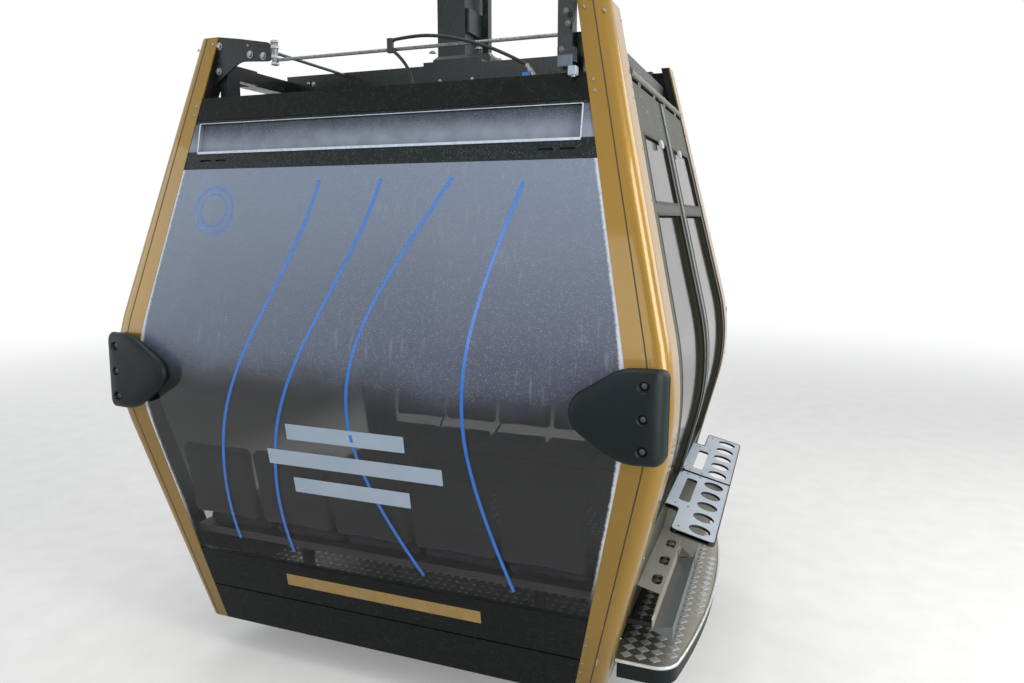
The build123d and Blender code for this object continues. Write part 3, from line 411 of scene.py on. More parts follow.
def band(made, wall, path, wide, proud, thick=0.0, **where):
    """A flat band laid along a path of (across, height) points on a wall."""
    rows = []
    for index, (across, height) in enumerate(path):
        before = path[max(index - 1, 0)]
        after = path[min(index + 1, len(path) - 1)]
        run = Vector((after[0] - before[0], after[1] - before[1])).normalized()
        aside = Vector((-run.y, run.x)) * (wide / 2)
        edges = [(across + aside.x, height + aside.y), (across - aside.x, height - aside.y)]
        spots = [wall(*edge, proud=proud, **where) for edge in edges]
        if thick:
            spots += [wall(*edge, proud=proud - thick, **where) for edge in reversed(edges)]
        rows.append([made.verts.new(spot) for spot in spots])
    skin(made, rows, capped=bool(thick), sides=None if thick else 1)


def piece(name, made, finish, body="cabin"):
    """A finished mesh as an object that rides on a body."""
    bmesh.ops.recalc_face_normals(made, faces=made.faces[:])
    item = as_object(name, made, finish)
    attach(item, body)
    return item


seam_paint = mottled(
    "seam_black", cloud=(60.0, 4.0), dark=(16, 13, 9), light=(52, 40, 22), Roughness=0.6
)
seams = bmesh.new()
for end, side in CORNERS:
    line = [
        (side * (half_width(SIDE_FACES, height) + half_width(END_OPENING, height)) / 2, height)
        for height in spread(0.004, PILLAR_TOP - 0.004, 60)
    ]
    band(seams, on_end, line, wide=0.0042, proud=0.0004, end=end)
piece("pillar_seams", seams, seam_paint)

# Pillar screws: small domed heads of bright steel at the levels of the roof beam and of the
# pillar tops, a row of rivets up the foot of each end face and some down each side face.
SIDE_TILT = 0.25


def circle(sides, turn=0.0):
    """Evenly spaced directions round a circle, each as its cosine and sine."""
    angles = [turn + 2 * math.pi * step / sides for step in range(sides)]
    return [(math.cos(angle), math.sin(angle)) for angle in angles]


def lathe(made, place, axis, profile, sides, turn=0.0, hollow=False):
    """A turned form: rings of (radius, rise) one after another along an axis. It is closed at
    both ends, or, where it is hollow, from its last ring back to its first."""
    stand = Matrix.Translation(place) @ Vector(axis).to_track_quat("Z", "Y").to_matrix().to_4x4()
    rings = []
    for radius, rise in profile:
        spots = [(radius * cosine, radius * sine, rise) for cosine, sine in circle(sides, turn)]
        rings.append([made.verts.new(stand @ Vector(spot)) for spot in spots])
    skin(made, rings + rings[:1] if hollow else rings, capped=not hollow)


def screw(made, place, axis, radius):
    """A domed screw head with a round socket."""
    dome = [(1.0, 0), (1.0, 0.22), (0.86, 0.46), (0.62, 0.58), (0.42, 0.6)]
    dome += [(0.38, 0.3), (0.1, 0.26)]
    lathe(made, place, axis, [(out * radius, rise * radius) for out, rise in dome], 14)


steel = mottled(
    "bright_steel",
    cloud=(130.0, 4.0),
    dark=(98, 102, 104),
    light=(158, 162, 164),
    rough=(0.24, 0.25),
    depth=0.0003,
    Metallic=0.9,
)
pillar_screws = bmesh.new()
for end, side in CORNERS:
    for height in (2.402, 2.162, 2.126):
        across = side * (half_width(END_OPENING, height) + 0.020)
        screw(pillar_screws, on_end(across, height, end=end), (0, end, 0.22), 0.0055)
    across = side * (half_width(SIDE_FACES, 2.385) - 0.022)
    screw(pillar_screws, on_end(across, 2.385, -0.004, end), (side * 0.35, end, 0.2), 0.0055)
    for height in spread(0.03, 0.31, 7):
        across = side * (half_width(END_OPENING, height) + 0.008)
        screw(pillar_screws, on_end(across, height, end=end), (0, end, -0.18), 0.0032)
    for height in (2.385, 2.16, 2.12, 1.95, 1.78, 0.9, 0.55, 0.2):
        along = end * (half_width(SIDE_OPENING, height) + 0.012)
        normal = (side, 0, SIDE_TILT if height > WAIST else -SIDE_TILT)
        screw(pillar_screws, on_side(along, height, side=side), normal, 0.0042)
piece("pillar_screws", pillar_screws, steel)


# Panes: bent dark glazing on three walls, clear below the waist and covered with fine droplets
# above it, where it leans back. A pale rime follows the edges by the pillars.
def pane_finish(name, axis, opening):
    """Dark glazing with dew above the waist. axis names the direction along the wall."""
    pane = Finish(name, IOR=1.45, Coat_Roughness=0.03)
    along = pane.x if axis == "x" else pane.y
    cloud = pane.noise(3.5, 4.0)
    dew = pane.ramp(pane.height + (cloud - 0.5) * 0.22, 1.02, 1.24)
    bead = pane.ramp(pane.cells(230.0), 0.42, 0.12) * pane.ramp(pane.noise(70.0, 4.0), 0.34, 0.62)
    streak = pane.ramp(pane.noise(60.0, 3.0, (1, 1, 0.08)), 0.58, 0.72)
    streak = streak * pane.ramp(pane.noise(4.0), 0.45, 0.6)
    rim = edge_distance(pane, along, opening)
    rime = pane.ramp(rim + pane.noise(90.0, 4.0) * 0.012, 0.020, 0.009)
    rime = rime * pane.ramp(pane.height, 0.34, 0.60)
    veil_high = pane.ramp(pane.height, 1.15, 1.95)
    veil = pane.mix(veil_high, colour(70, 74, 92), colour(118, 131, 150))
    veil = pane.mix(pane.ramp(along, 1.0, -0.9) * 0.35, veil, colour(126, 142, 158))
    veil = pane.mix(bead * 0.55, veil, colour(186, 192, 204))
    veil = pane.mix(streak * 0.30, veil, colour(150, 156, 168))
    shade = pane.mix(dew, colour(13, 17, 21), veil)
    pane.wire("Base Color", pane.mix(rime, shade, colour(205, 210, 218)))
    cover = 0.62 + dew * (0.30 + bead * 0.08) - pane.ramp(pane.height, 0.72, 0.48) * 0.42
    pane.wire("Alpha", cover + rime * 0.5)
    pane.wire("Roughness", 0.05 + dew * 0.42 + rime * 0.3)
    pane.wire("Coat Weight", 0.5 - dew * 0.40)
    pane.bump(bead * dew, 0.0012)
    return pane


dress(["front_pane", "rear_pane"], pane_finish("end_pane", "x", END_OPENING))
dress(["back_pane"], pane_finish("back_pane", "y", SIDE_OPENING))

# Livery on the end panes: thin blue flow lines, plain silver bars and an empty ring, all cut
# from film that follows the bent pane.
PANE_FILM = -0.0006
RING_MIDDLE = (-0.673, 1.752)
# Each flow line's upper end, lower end and sway
FLOWS = [
    ((-0.20, 1.86), (-0.62, 0.42), -0.10),
    ((0.06, 1.86), (-0.36, 0.40), -0.12),
    ((0.34, 1.86), (0.22, 0.40), -0.30),
    ((0.60, 1.84), (0.58, 0.40), -0.16),
]
# Each silver bar's height, left end and right end
BARS = [(0.930, -0.30, 0.20), (0.820, -0.40, 0.34), (0.710, -0.30, 0.20)]


def film(name, red, green, blue):
    """Thin printed film with a little dew on it above the waist."""
    made = Finish(name, Coat_Weight=0.4, Coat_Roughness=0.1)
    dew = made.ramp(made.height, 1.05, 1.3) * made.ramp(made.noise(320.0, 3.0), 0.45, 0.65)
    faded = colour(red * 0.86, green * 0.9, blue * 0.92)
    plain = made.mix(made.noise(8.0, 3.0), colour(red, green, blue), faded)
    made.wire("Base Color", made.mix(dew * 0.35, plain, colour(150, 172, 200)))
    made.wire("Roughness", 0.3 + dew * 0.3)
    return made


def flow(start, finish, sway, steps=44):
    """An S-shaped line from one point of a pane to another."""
    line = []
    for share in spread(0, 1, steps):
        ease = share * share * (3 - 2 * share)
        across = start[0] + (finish[0] - start[0]) * ease + sway * math.sin(math.pi * share)
        line.append((across, start[1] + (finish[1] - start[1]) * share))
    return line


blue_lines = bmesh.new()
for end in END_NAMES:
    for ends_and_sway in FLOWS:
        line = [(-end * across, height) for across, height in flow(*ends_and_sway)]
        band(blue_lines, on_end, line, wide=0.013, proud=PANE_FILM, end=end)
    for radius, wide in ((0.088, 0.007), (0.062, 0.005)):
        across, height = RING_MIDDLE
        ring = [
            (-end * (across + radius * cosine), height + radius * sine)
            for cosine, sine in circle(48)
        ]
        band(blue_lines, on_end, ring + ring[:1], wide=wide, proud=PANE_FILM, end=end)
piece("blue_lines", blue_lines, film("blue_film", 6, 110, 204))

silver_bars = bmesh.new()
for end in END_NAMES:
    for height, left, right in BARS:
        line = [(-end * across, height) for across in spread(left, right, 12)]
        band(silver_bars, on_end, line, wide=0.062, proud=PANE_FILM + 0.0002, end=end)
piece("silver_bars", silver_bars, film("silver_film", 168, 182, 196))

# Skirts and roof beams: pressed sheet in black gloss that carries fine droplets. A plain gold
# bar is stuck to each end skirt, between two fine black lines.
black = Finish("black_gloss", Coat_Roughness=0.12, Specular_IOR_Level=0.1)
black_cloud = black.noise(6.0, 4.0)
black_drop = black.ramp(black.cells(210.0), 0.36, 0.14)
black_drop = black_drop * black.ramp(black.noise(45.0, 4.0), 0.46, 0.62)
black_base = black.mix(black_cloud, colour(7, 11, 9), colour(17, 23, 19))
black.wire("Base Color", black.mix(black_drop * 0.5, black_base, colour(76, 86, 90)))
black.wire("Roughness", 0.26 + black_cloud * 0.22)
black.wire("Coat Weight", 0.06 - black_drop * 0.04)
black.bump(black_drop, 0.0012)
dress(["front_skirt", "rear_skirt", "back_skirt", "roof_beams"], black)

# Slate rubber, of which the bumpers, the step's band and the tyres are made too
rubber = mottled(
    "slate_rubber",
    cloud=(7.0, 4.0),
    dark=(3, 12, 13),
    light=(12, 27, 28),
    rough=(0.34, 0.18),
    Specular_IOR_Level=0.2,
)
rubber.bump(rubber.noise(1100.0) + rubber.noise(50.0, 4.0) * 0.6, 0.0003)
dull_gold = mottled(
    "dull_gold_film", cloud=(30.0, 4.0), dark=(138, 110, 58), light=(168, 136, 78), Roughness=0.45
)
gold_bar = bmesh.new()
skirt_lines = bmesh.new()
for end in END_NAMES:
    line = [(-end * across, 0.262) for across in spread(-0.42, 0.44, 16)]
    band(gold_bar, on_end, line, wide=0.052, proud=0.0005, end=end)
    for height in (0.300, 0.214):
        reach = half_width(END_OPENING, height) - 0.03
        line = [(across, height) for across in spread(-reach, reach, 20)]
        band(skirt_lines, on_end, line, wide=0.003, proud=0.0006, end=end)
piece("skirt_bars", gold_bar, dull_gold)
piece("skirt_lines", skirt_lines, rubber)

# Headers: the black band over each pane with a recess along it. A narrow raised frame goes
# round the recess, and rime lies on its ledge and along the frame's lower edge.
RECESS_LOW = 1.977
RECESS_TOP = 2.088
header = Finish("header_black", Specular_IOR_Level=0.2)
header_band = header.ramp(header.height, 1.976, 1.982) * header.ramp(header.height, 2.09, 2.084)
header_bead = header.ramp(header.cells(240.0), 0.40, 0.12)
header_bead = header_bead * header.ramp(header.noise(60.0, 4.0), 0.36, 0.60)
header_ledge = header.ramp(header.facing((0, 0, 1)), 0.5, 0.8)
header_dew = header_bead * (0.26 + header_band * 0.60)
header_shade = header.mix(header_dew, colour(14, 24, 25), colour(168, 182, 194))
# The recess band is paler towards its lower edge, in blotches of blue-grey
header_paler_low = header_band * (0.30 + header.ramp(header.height, 2.075, 1.995) * 0.45)
header_paler_low = header_paler_low * (0.55 + header.noise(14.0, 4.0) * 0.9)
header_shade = header.mix(header_paler_low, header_shade, colour(150, 158, 172))
header_rime = header_ledge * header_band
header.wire("Base Color", header.mix(header_rime, header_shade, colour(196, 204, 218)))
header.wire("Roughness", 0.34 + header_band * 0.25)
header.bump(header_bead, 0.0012)
dress(["front_header", "rear_header", "back_header"], header)

rimed = mottled(
    "rimed_trim",
    cloud=(70.0, 5.0),
    dark=(150, 160, 176),
    light=(222, 228, 240),
    grain=(420.0, 3.0),
    depth=0.0008,
    Roughness=0.5,
)
header_frames = bmesh.new()
for end in END_NAMES:
    reach = half_width(END_OPENING, RECESS_TOP) - 0.024
    lower = [(across, RECESS_LOW - 0.002) for across in spread(-reach, reach, 20)]
    band(header_frames, on_end, lower, wide=0.009, proud=-0.0006, thick=0.002, end=end)
    upper = [(across, RECESS_TOP + 0.001) for across in spread(-reach, reach, 20)]
    band(header_frames, on_end, upper, wide=0.0025, proud=-0.0016, thick=0.001, end=end)
    for side in SIDE_NAMES:
        upright = [(side * reach, height) for height in spread(RECESS_LOW, RECESS_TOP, 6)]
        band(header_frames, on_end, upright, wide=0.005, proud=-0.0012, thick=0.0015, end=end)
piece("header_frames", header_frames, rimed)

# Corner bumpers: domed rubber shields moulded to the bend of the wall, undercut behind their
# rims and rolled over towards the cabin's side. Three sunk screws hold each. They replace the
# plain pads and lie on the pillars and panes at the waist.
BUMPER_EDGE = 1.122
BUMPER_PROUD = 0.062
BUMPER_POINT = 0.376
SCREW_PITCH = 0.102
UNDERCUT = 0.026
ROLL = 0.066


def rounded(points, radii, steps=7):
    """The outline through flat points, each corner turned on its own radius."""
    outline = []
    count = len(points)
    for index in range(count):
        corner = Vector(points[index])
        back = (Vector(points[index - 1]) - corner).normalized()
        onward = (Vector(points[(index + 1) % count]) - corner).normalized()
        if not radii[index]:
            outline.append(corner)
            continue
        half = back.angle(onward) / 2
        middle = corner + (back + onward).normalized() * (radii[index] / math.sin(half))
        first = corner + back * (radii[index] / math.tan(half)) - middle
        sweep = first.angle_signed(corner + onward * (radii[index] / math.tan(half)) - middle)
        for share in spread(0, 1, steps):
            outline.append(middle + Matrix.Rotation(-sweep * share, 2) @ first)
    return outline


def inward(outline):
    """For each point of an outline, the unit vector towards its inside."""
    area = sum(a.x * b.y - b.x * a.y for a, b in zip(outline, outline[1:] + outline[:1]))
    turn = 1 if area > 0 else -1
    vectors = []
    for index in range(len(outline)):
        run = outline[(index + 1) % len(outline)] - outline[index - 1]
        vectors.append(Vector((-run.y, run.x)).normalized() * turn)
    return vectors


def share_of(value, whole):
    """A value as a share of a whole, kept between 0 and 1."""
    return min(1.0, max(0.0, value / whole))


def dome(flat):
    """How far the bumper stands out from the wall at a place in its outline."""
    rolled = max(0.0, (flat.x + ROLL) / ROLL)
    near_point = share_of(flat.x + BUMPER_POINT, 0.150)
    swell = BUMPER_PROUD - 0.013 * (1 - near_point) ** 1.5
    return swell - 0.052 * (1 - math.sqrt(max(0.0, 1 - rolled**2)))


def on_bumper(flat, out, end, side):
    """A point over the wall at a place in a bumper's outline, so far out."""
    height = WAIST + flat.y
    depth = half_width(END_FACES, height) + out
    return Vector((side * (BUMPER_EDGE + flat.x), end * depth, FOOT + height))


def set_in(item, kind, **settings):
    """Works one modifier into an item's mesh."""
    modifier = item.modifiers.new("step", kind)
    for key, value in settings.items():
        setattr(modifier, key, value)
    bpy.context.view_layer.update()
    seen = item.evaluated_get(bpy.context.evaluated_depsgraph_get())
    item.data = bpy.data.meshes.new_from_object(seen)
    item.modifiers.clear()


def smooth(item, degrees=None):
    """Shades an item smooth, but for edges that turn by more than so many degrees."""
    for face in item.data.polygons:
        face.use_smooth = True
    if degrees:
        item.data.set_sharp_from_angle(angle=math.radians(degrees))


dress(["front_bumpers", "rear_bumpers"], rubber)
dark_steel = mottled(
    "dark_steel",
    cloud=(130.0, 4.0),
    dark=(58, 62, 60),
    light=(104, 108, 104),
    rough=(0.30, 0.25),
    depth=0.0003,
    Metallic=0.7,
)
shield = rounded(
    [(0, 0.152), (-0.142, 0.152), (-BUMPER_POINT, 0), (-0.142, -0.152), (0, -0.152)],
    [0.036, 0.150, 0.081, 0.150, 0.036],
    steps=9,
)
shield_in = inward(shield)
shield_heart = Vector((-0.150, 0.0))
# A bumper's rings from its back to its middle: for each point, its place in the outline and
# how far out it is
bumper_rings = []
for out in (-0.010, 0.001):
    bumper_rings.append(
        [
            (point + aim * UNDERCUT * share_of(-point.x, 0.12), out)
            for point, aim in zip(shield, shield_in)
        ]
    )
# The rim, by how far it is drawn in and how far it lies below the dome
for shift, rise in (
    (0.0, -0.024),
    (0.0008, -0.017),
    (0.0038, -0.0105),
    (0.009, -0.0058),
    (0.016, -0.0028),
    (0.026, -0.0010),
):
    flats = [point + aim * shift for point, aim in zip(shield, shield_in)]
    bumper_rings.append([(flat, max(dome(flat) + rise, 0.003)) for flat in flats])
inner = [point + aim * UNDERCUT for point, aim in zip(shield, shield_in)]
for share in (0.86, 0.72, 0.58, 0.44, 0.30, 0.16):
    flats = [shield_heart + (flat - shield_heart) * share for flat in inner]
    bumper_rings.append([(flat, dome(flat)) for flat in flats])

for end, side in CORNERS:
    pad = bmesh.new()
    rings = [
        [pad.verts.new(on_bumper(flat, out, end, side)) for flat, out in ring]
        for ring in bumper_rings
    ]
    skin(pad, rings)
    name = f"{END_NAMES[end]}_{SIDE_NAMES[side]}_bumper"
    bumper = piece(name, pad, rubber)
    recesses = bmesh.new()
    heads = bmesh.new()
    for pitch in (-SCREW_PITCH, 0, SCREW_PITCH):
        place = on_bumper(Vector((-0.069, pitch)), BUMPER_PROUD - 0.015, end, side)
        recess = [(0.0125, 0), (0.0140, 0.009), (0.0215, 0.016), (0.026, 0.024)]
        lathe(recesses, place, (0, end, 0), recess, 24)
        screw(heads, place, (0, end, 0), 0.0112)
    bmesh.ops.recalc_face_normals(recesses, faces=recesses.faces[:])
    cutter = as_object("cutter", recesses)
    set_in(bumper, "BOOLEAN", operation="DIFFERENCE", solver="EXACT", object=cutter)
    bpy.data.objects.remove(cutter)
    smooth(bumper, 40)
    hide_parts(f"{END_NAMES[end]}_bumpers")
    piece(name + "_screws", heads, dark_steel)

# Step: checker plate outside the doors, painted dark near the wall as shade under the bulging
# waist and pale towards its free edge, with raised lozenges, a bright tube round that edge and a
# rubber band below it.
STEP_HEIGHT = 0.124
STEP_TOP = FOOT + STEP_HEIGHT
STEP_ROOT = half_width(SIDE_FACES, STEP_HEIGHT)
STEP_HALF = 0.720
STEP_REACH = 1.205
STEP_END = 1.127
STEP_CORNER = 0.090
arc_rise = STEP_REACH - STEP_END
arc_radius = (STEP_HALF**2 + arc_rise**2) / (2 * arc_rise)
arc_middle = STEP_REACH - arc_radius
corner_y = STEP_HALF - STEP_CORNER
corner_x = arc_middle + math.sqrt((arc_radius - STEP_CORNER) ** 2 - corner_y**2)
arc_end = math.asin(corner_y / (arc_radius - STEP_CORNER))


def step_outline(inset):
    """The free edge of the step from its rear root to its front root, drawn in by an inset."""
    edge = [Vector((STEP_ROOT + 0.004, STEP_HALF - inset))]
    reach = STEP_CORNER - inset
    for angle in spread(math.pi / 2, arc_end, 8):
        turned = Vector((reach * math.cos(angle), reach * math.sin(angle)))
        edge.append(Vector((corner_x, corner_y)) + turned)
    reach = arc_radius - inset
    for angle in spread(arc_end, -arc_end, 24)[1:-1]:
        edge.append(Vector((arc_middle + reach * math.cos(angle), reach * math.sin(angle))))
    front = [Vector((point.x, -point.y)) for point in reversed(edge[:9])]
    return edge + front + front[-1:]


def tube(made, path, radius, sides):
    """A round bar along a path of points in space."""
    rings = []
    for index, point in enumerate(path):
        run = (path[min(index + 1, len(path) - 1)] - path[max(index - 1, 0)]).normalized()
        aside = run.cross(Vector((0, 0, 1)))
        if aside.length <= 0.05:
            aside = run.cross(Vector((0, 1, 0)))
        aside.normalize()
        lift = aside.cross(run).normalized()
        rings.append(
            [
                made.verts.new(point + (aside * cosine + lift * sine) * radius)
                for cosine, sine in circle(sides)
            ]
        )
    skin(made, rings)


def lozenge(made, place, long, wide, rise, turn):
    """A raised tread stud: a low pyramid with a flat top."""
    spin = Matrix.Rotation(turn, 3, "Z")
    corners = ((long, 0), (0, wide), (-long, 0), (0, -wide))
    low, high = (
        [
            made.verts.new(Vector(place) + spin @ Vector((x * share, y * share, level)))
            for x, y in corners
        ]
        for share, level in ((1, 0), (0.72, rise))
    )
    made.faces.new(high)
    skin(made, (low, high), capped=False)


def inside_step(x, y):
    """Whether a stud's middle lies well inside the step plate."""
    if abs(y) > STEP_HALF - 0.035 or x < STEP_ROOT + 0.028:
        return False
    if abs(y) > corner_y and x > corner_x:
        return math.hypot(x - corner_x, abs(y) - corner_y) < STEP_CORNER - 0.030
    return math.hypot(x - arc_middle, y) < arc_radius - 0.032


ground = Finish("step_ground", Metallic=0.35)
ground_dirt = ground.noise(14.0, 6.0)
# Painted shade: dark near the wall under the waist, and pale towards the free edge, where it is lit
ground_lit_share = ground.ramp(ground.x, 1.02, 1.18)
ground_shaded_to_lit = ground.mix(ground_lit_share, colour(84, 84, 76), colour(196, 190, 174))
ground.wire("Base Color", ground.mix(ground_dirt * 0.45, ground_shaded_to_lit, colour(58, 58, 52)))
ground.wire("Roughness", 0.38 + ground_dirt * 0.3)
ground.bump(ground.noise(260.0, 4.0), 0.0004)
dress(["step_plate"], ground)
dress(["step_band"], rubber)
bright = mottled(
    "bright_tread",
    cloud=(40.0, 5.0),
    dark=(160, 164, 164),
    light=(216, 220, 220),
    rough=(0.20, 0.25),
    grain=(500.0, 2.0),
    depth=0.0002,
    Metallic=0.55,
)
tread = bmesh.new()
for row in range(-14, 15):
    for column in range(8):
        x = STEP_ROOT + 0.034 + column * 0.053
        y = row * 0.0515
        if inside_step(x, y):
            lozenge(tread, (x, y, STEP_TOP), long=0.0245, wide=0.0235, rise=0.0016, turn=0.0)
piece("step_tread", tread, bright)
step_rim = bmesh.new()
rim_path = [Vector((point.x, point.y, STEP_TOP - 0.003)) for point in step_outline(0.003)]
tube(step_rim, rim_path, radius=0.0065, sides=10)
piece("step_rim", step_rim, bright)

# Ski racks: bare aluminium sheet, folded into troughs and shelves on stays whose foot is painted
# black as shade. The plates with the ski holes are light anodised sheet on the front, with painted
# shade in black on every other face, in the holes too, black rubber edging all round and pan-head
# screws.
PLATE_HEIGHT = 0.636
LEAN = math.atan((SIDE_FACES[1] - SIDE_FACES[0]) / WAIST)
PLATE_X = half_width(SIDE_FACES, PLATE_HEIGHT)
PLATE_NORMAL = (math.sin(LEAN), 0, math.cos(LEAN))


def on_plate(out, along, over=0.0):
    """A point of a ski plate: how far out, how far along the rope, and how far over its face."""
    across = PLATE_X + out * math.cos(LEAN) + over * math.sin(LEAN)
    height = PLATE_HEIGHT - out * math.sin(LEAN) + over * math.cos(LEAN)
    return Vector((across, along, FOOT + height))


alloy = Finish("dull_aluminium", Metallic=0.35)
alloy_brush = alloy.noise(420.0, 3.0, (1, 0.06, 1))
alloy_cloud = alloy.noise(8.0, 5.0)
alloy.wire("Base Color", alloy.mix(alloy_cloud, colour(130, 129, 121), colour(164, 162, 153)))
alloy.wire("Roughness", 0.36 + alloy_brush * 0.16 + alloy_cloud * 0.12)
alloy.bump(alloy_brush, 0.0002)
dress(["rack_shelves"], alloy)

trough = Finish("trough_sheet", Metallic=0.3)
trough_cloud = trough.noise(9.0, 5.0)
# Lit and shaded copies of the sheet: the faces by the inner wall that turn out to the doors side
# are painted pale pink-beige as light, and all others a darker grey-green as shade
trough_shaded_colour = trough.mix(trough_cloud, colour(76, 86, 88), colour(106, 115, 115))
trough_lit_colour = trough.mix(trough_cloud, colour(166, 150, 136), colour(202, 188, 174))
trough_lit_faces = trough.ramp(trough.facing((1, 0, 0)), 0.1, 0.6)
trough_lit_faces = trough_lit_faces * trough.ramp(trough.x, 1.078, 1.072)
trough_light_and_shade = trough.mix(trough_lit_faces, trough_shaded_colour, trough_lit_colour)
# Painted highlight: the top of the rim is near white
trough_rim_highlight = trough.ramp(trough.height, 0.2565, 0.2585)
trough.wire("Base Color", trough.mix(trough_rim_highlight, trough_light_and_shade, colour(226, 226, 222)))
trough.wire("Roughness", 0.34 + trough_cloud * 0.2)
trough.bump(trough.noise(300.0, 3.0), 0.0002)
dress(["ski_troughs"], trough)

plate = Finish("rack_plate", Metallic=0.25)
# Painted shade: every face but the front is black, the walls of the ski holes among them
plate_front_unshaded = plate.ramp(plate.facing(PLATE_NORMAL), 0.6, 0.8)
plate_brush = plate.noise(420.0, 3.0, (1, 0.06, 1))
plate_metal = plate.mix(plate.noise(7.0, 5.0), colour(150, 160, 170), colour(184, 193, 202))
plate.wire("Base Color", plate.mix(plate_front_unshaded, colour(16, 17, 18), plate_metal))
plate.wire("Roughness", 0.42 + plate_brush * 0.12 - plate_front_unshaded * 0.06)
plate.bump(plate_brush * plate_front_unshaded, 0.0002)
dress(["ski_plates"], plate)

stay = Finish("stay_sheet", Metallic=0.3)
stay_cloud = stay.noise(9.0, 5.0)
stay_sheet = stay.mix(stay_cloud, colour(116, 116, 108), colour(150, 148, 140))
# Painted shade: the stays are black below the troughs' rim
stay_painted_shade = stay.ramp(stay.height, 0.256, 0.248)
stay.wire("Base Color", stay.mix(stay_painted_shade, stay_sheet, colour(17, 18, 18)))
stay.wire("Roughness", 0.4 + stay_cloud * 0.2)
stay.bump(stay.noise(300.0, 3.0), 0.0002)
dress(["rack_stays"], stay)

black_edge = mottled(
    "black_edging", cloud=(120.0, 4.0), dark=(12, 13, 14), light=(34, 36, 38), Roughness=0.55
)
plate_outline = rounded(
    [(0.009, 0.006), (0.212, 0.006), (0.212, 0.632), (0.048, 0.632), (0.048, 0.428), (0.0, 0.428)],
    [0, 0, 0.022, 0.022, 0.012, 0],
    steps=5,
)
plate_in = inward(plate_outline)
plate_in[0] = Vector((0, 1))
plate_in[-1] = Vector((0, -1))
# Screws of one plate, by how far out and how far along they are
PLATE_SCREWS = [
    (0.003, 0.034),
    (0.032, 0.030),
    (0.085, 0.030),
    (0.031, 0.389),
    (0.082, 0.387),
    (0.074, 0.590),
]
edging = bmesh.new()
rack_screws = bmesh.new()
for end in END_NAMES:
    rows = []
    for point, aim in zip(plate_outline, plate_in):
        inner = point + aim * 0.004
        corners = [(point, 0.0012), (inner, 0.0012), (inner, -0.016), (point, -0.016)]
        rows.append(
            [edging.verts.new(on_plate(spot.x, end * spot.y, over)) for spot, over in corners]
        )
    skin(edging, rows)
    for out, along in PLATE_SCREWS:
        screw(rack_screws, on_plate(out, end * along), PLATE_NORMAL, 0.0048)
piece("rack_edging", edging, black_edge)
piece("rack_screws", rack_screws, steel)

# Roof gear: hanger foot, frame and columns in black machinery enamel, greasy and pale with
# dust, and zinc-plated drive rods. Bolts hold cross members, columns and corner plates, nuts
# lock the rods' upright joints, and a switch with a grey face sits beside each column.
FRAME_FACE = 0.2132
BEAM_FACE = 0.6982
COLUMN_FACE = 0.7652
JOINT_LINE = (-0.474, 0.694)
# The nuts of one upright joint: lower end, upper end and radius
NUTS = [
    (2.306, 2.316, 0.0165),
    (2.330, 2.342, 0.0175),
    (2.366, 2.378, 0.0175),
    (2.388, 2.3975, 0.0165),
]
SWITCH = (0.717, 2.226)
SWITCH_FACE = 0.7650
SWITCH_CORNERS = ((-0.025, -0.018), (0.025, -0.018), (0.025, 0.018), (-0.025, 0.018))


def bolt(made, place, axis, radius):
    """A washer under a hexagon head with chamfered corners."""
    washer = ((1.75, 0), (1.75, 0.22), (1.62, 0.3), (0.9, 0.3))
    head = ((1.1, 0.3), (1.1, 0.9), (0.92, 1.05), (0.5, 1.05))
    for shares, sides, turn in ((washer, 18, 0.0), (head, 6, 0.4)):
        profile = [(out * radius, rise * radius) for out, rise in shares]
        lathe(made, place, axis, profile, sides, turn)


enamel = Finish("black_enamel", Coat_Roughness=0.2, Specular_IOR_Level=0.25)
enamel_dust = enamel.ramp(enamel.noise(75.0, 6.0), 0.46, 0.78)
enamel_base = enamel.mix(enamel.noise(9.0, 5.0), colour(9, 15, 16), colour(24, 33, 34))
enamel.wire("Base Color", enamel.mix(enamel_dust * 0.26, enamel_base, colour(76, 86, 86)))
enamel.wire("Roughness", 0.30 + enamel_dust * 0.35)
enamel.wire("Coat Weight", 0.15 - enamel_dust * 0.12)
enamel.bump(enamel.noise(260.0, 3.0) + enamel_dust * 0.4, 0.0005)
dress(["roof_frame", "roof_panel", "hanger_foot", "hanger_arm", "hanger_damper"], enamel)
dress(["drive_columns", "drive_gussets", "door_hangers", "floor_panel", "door_sill"], enamel)

zinc = Finish("zinc", Metallic=0.75)
zinc_spangle = zinc.cells(120.0)
zinc.wire("Base Color", zinc.mix(zinc_spangle, colour(128, 136, 136), colour(92, 100, 100)))
zinc.wire("Roughness", 0.34 + zinc_spangle * 0.3)
zinc.bump(zinc.noise(300.0, 3.0), 0.0003)
dress(["drive_rods", "pin_washer", "door_meeting_strip"], zinc)

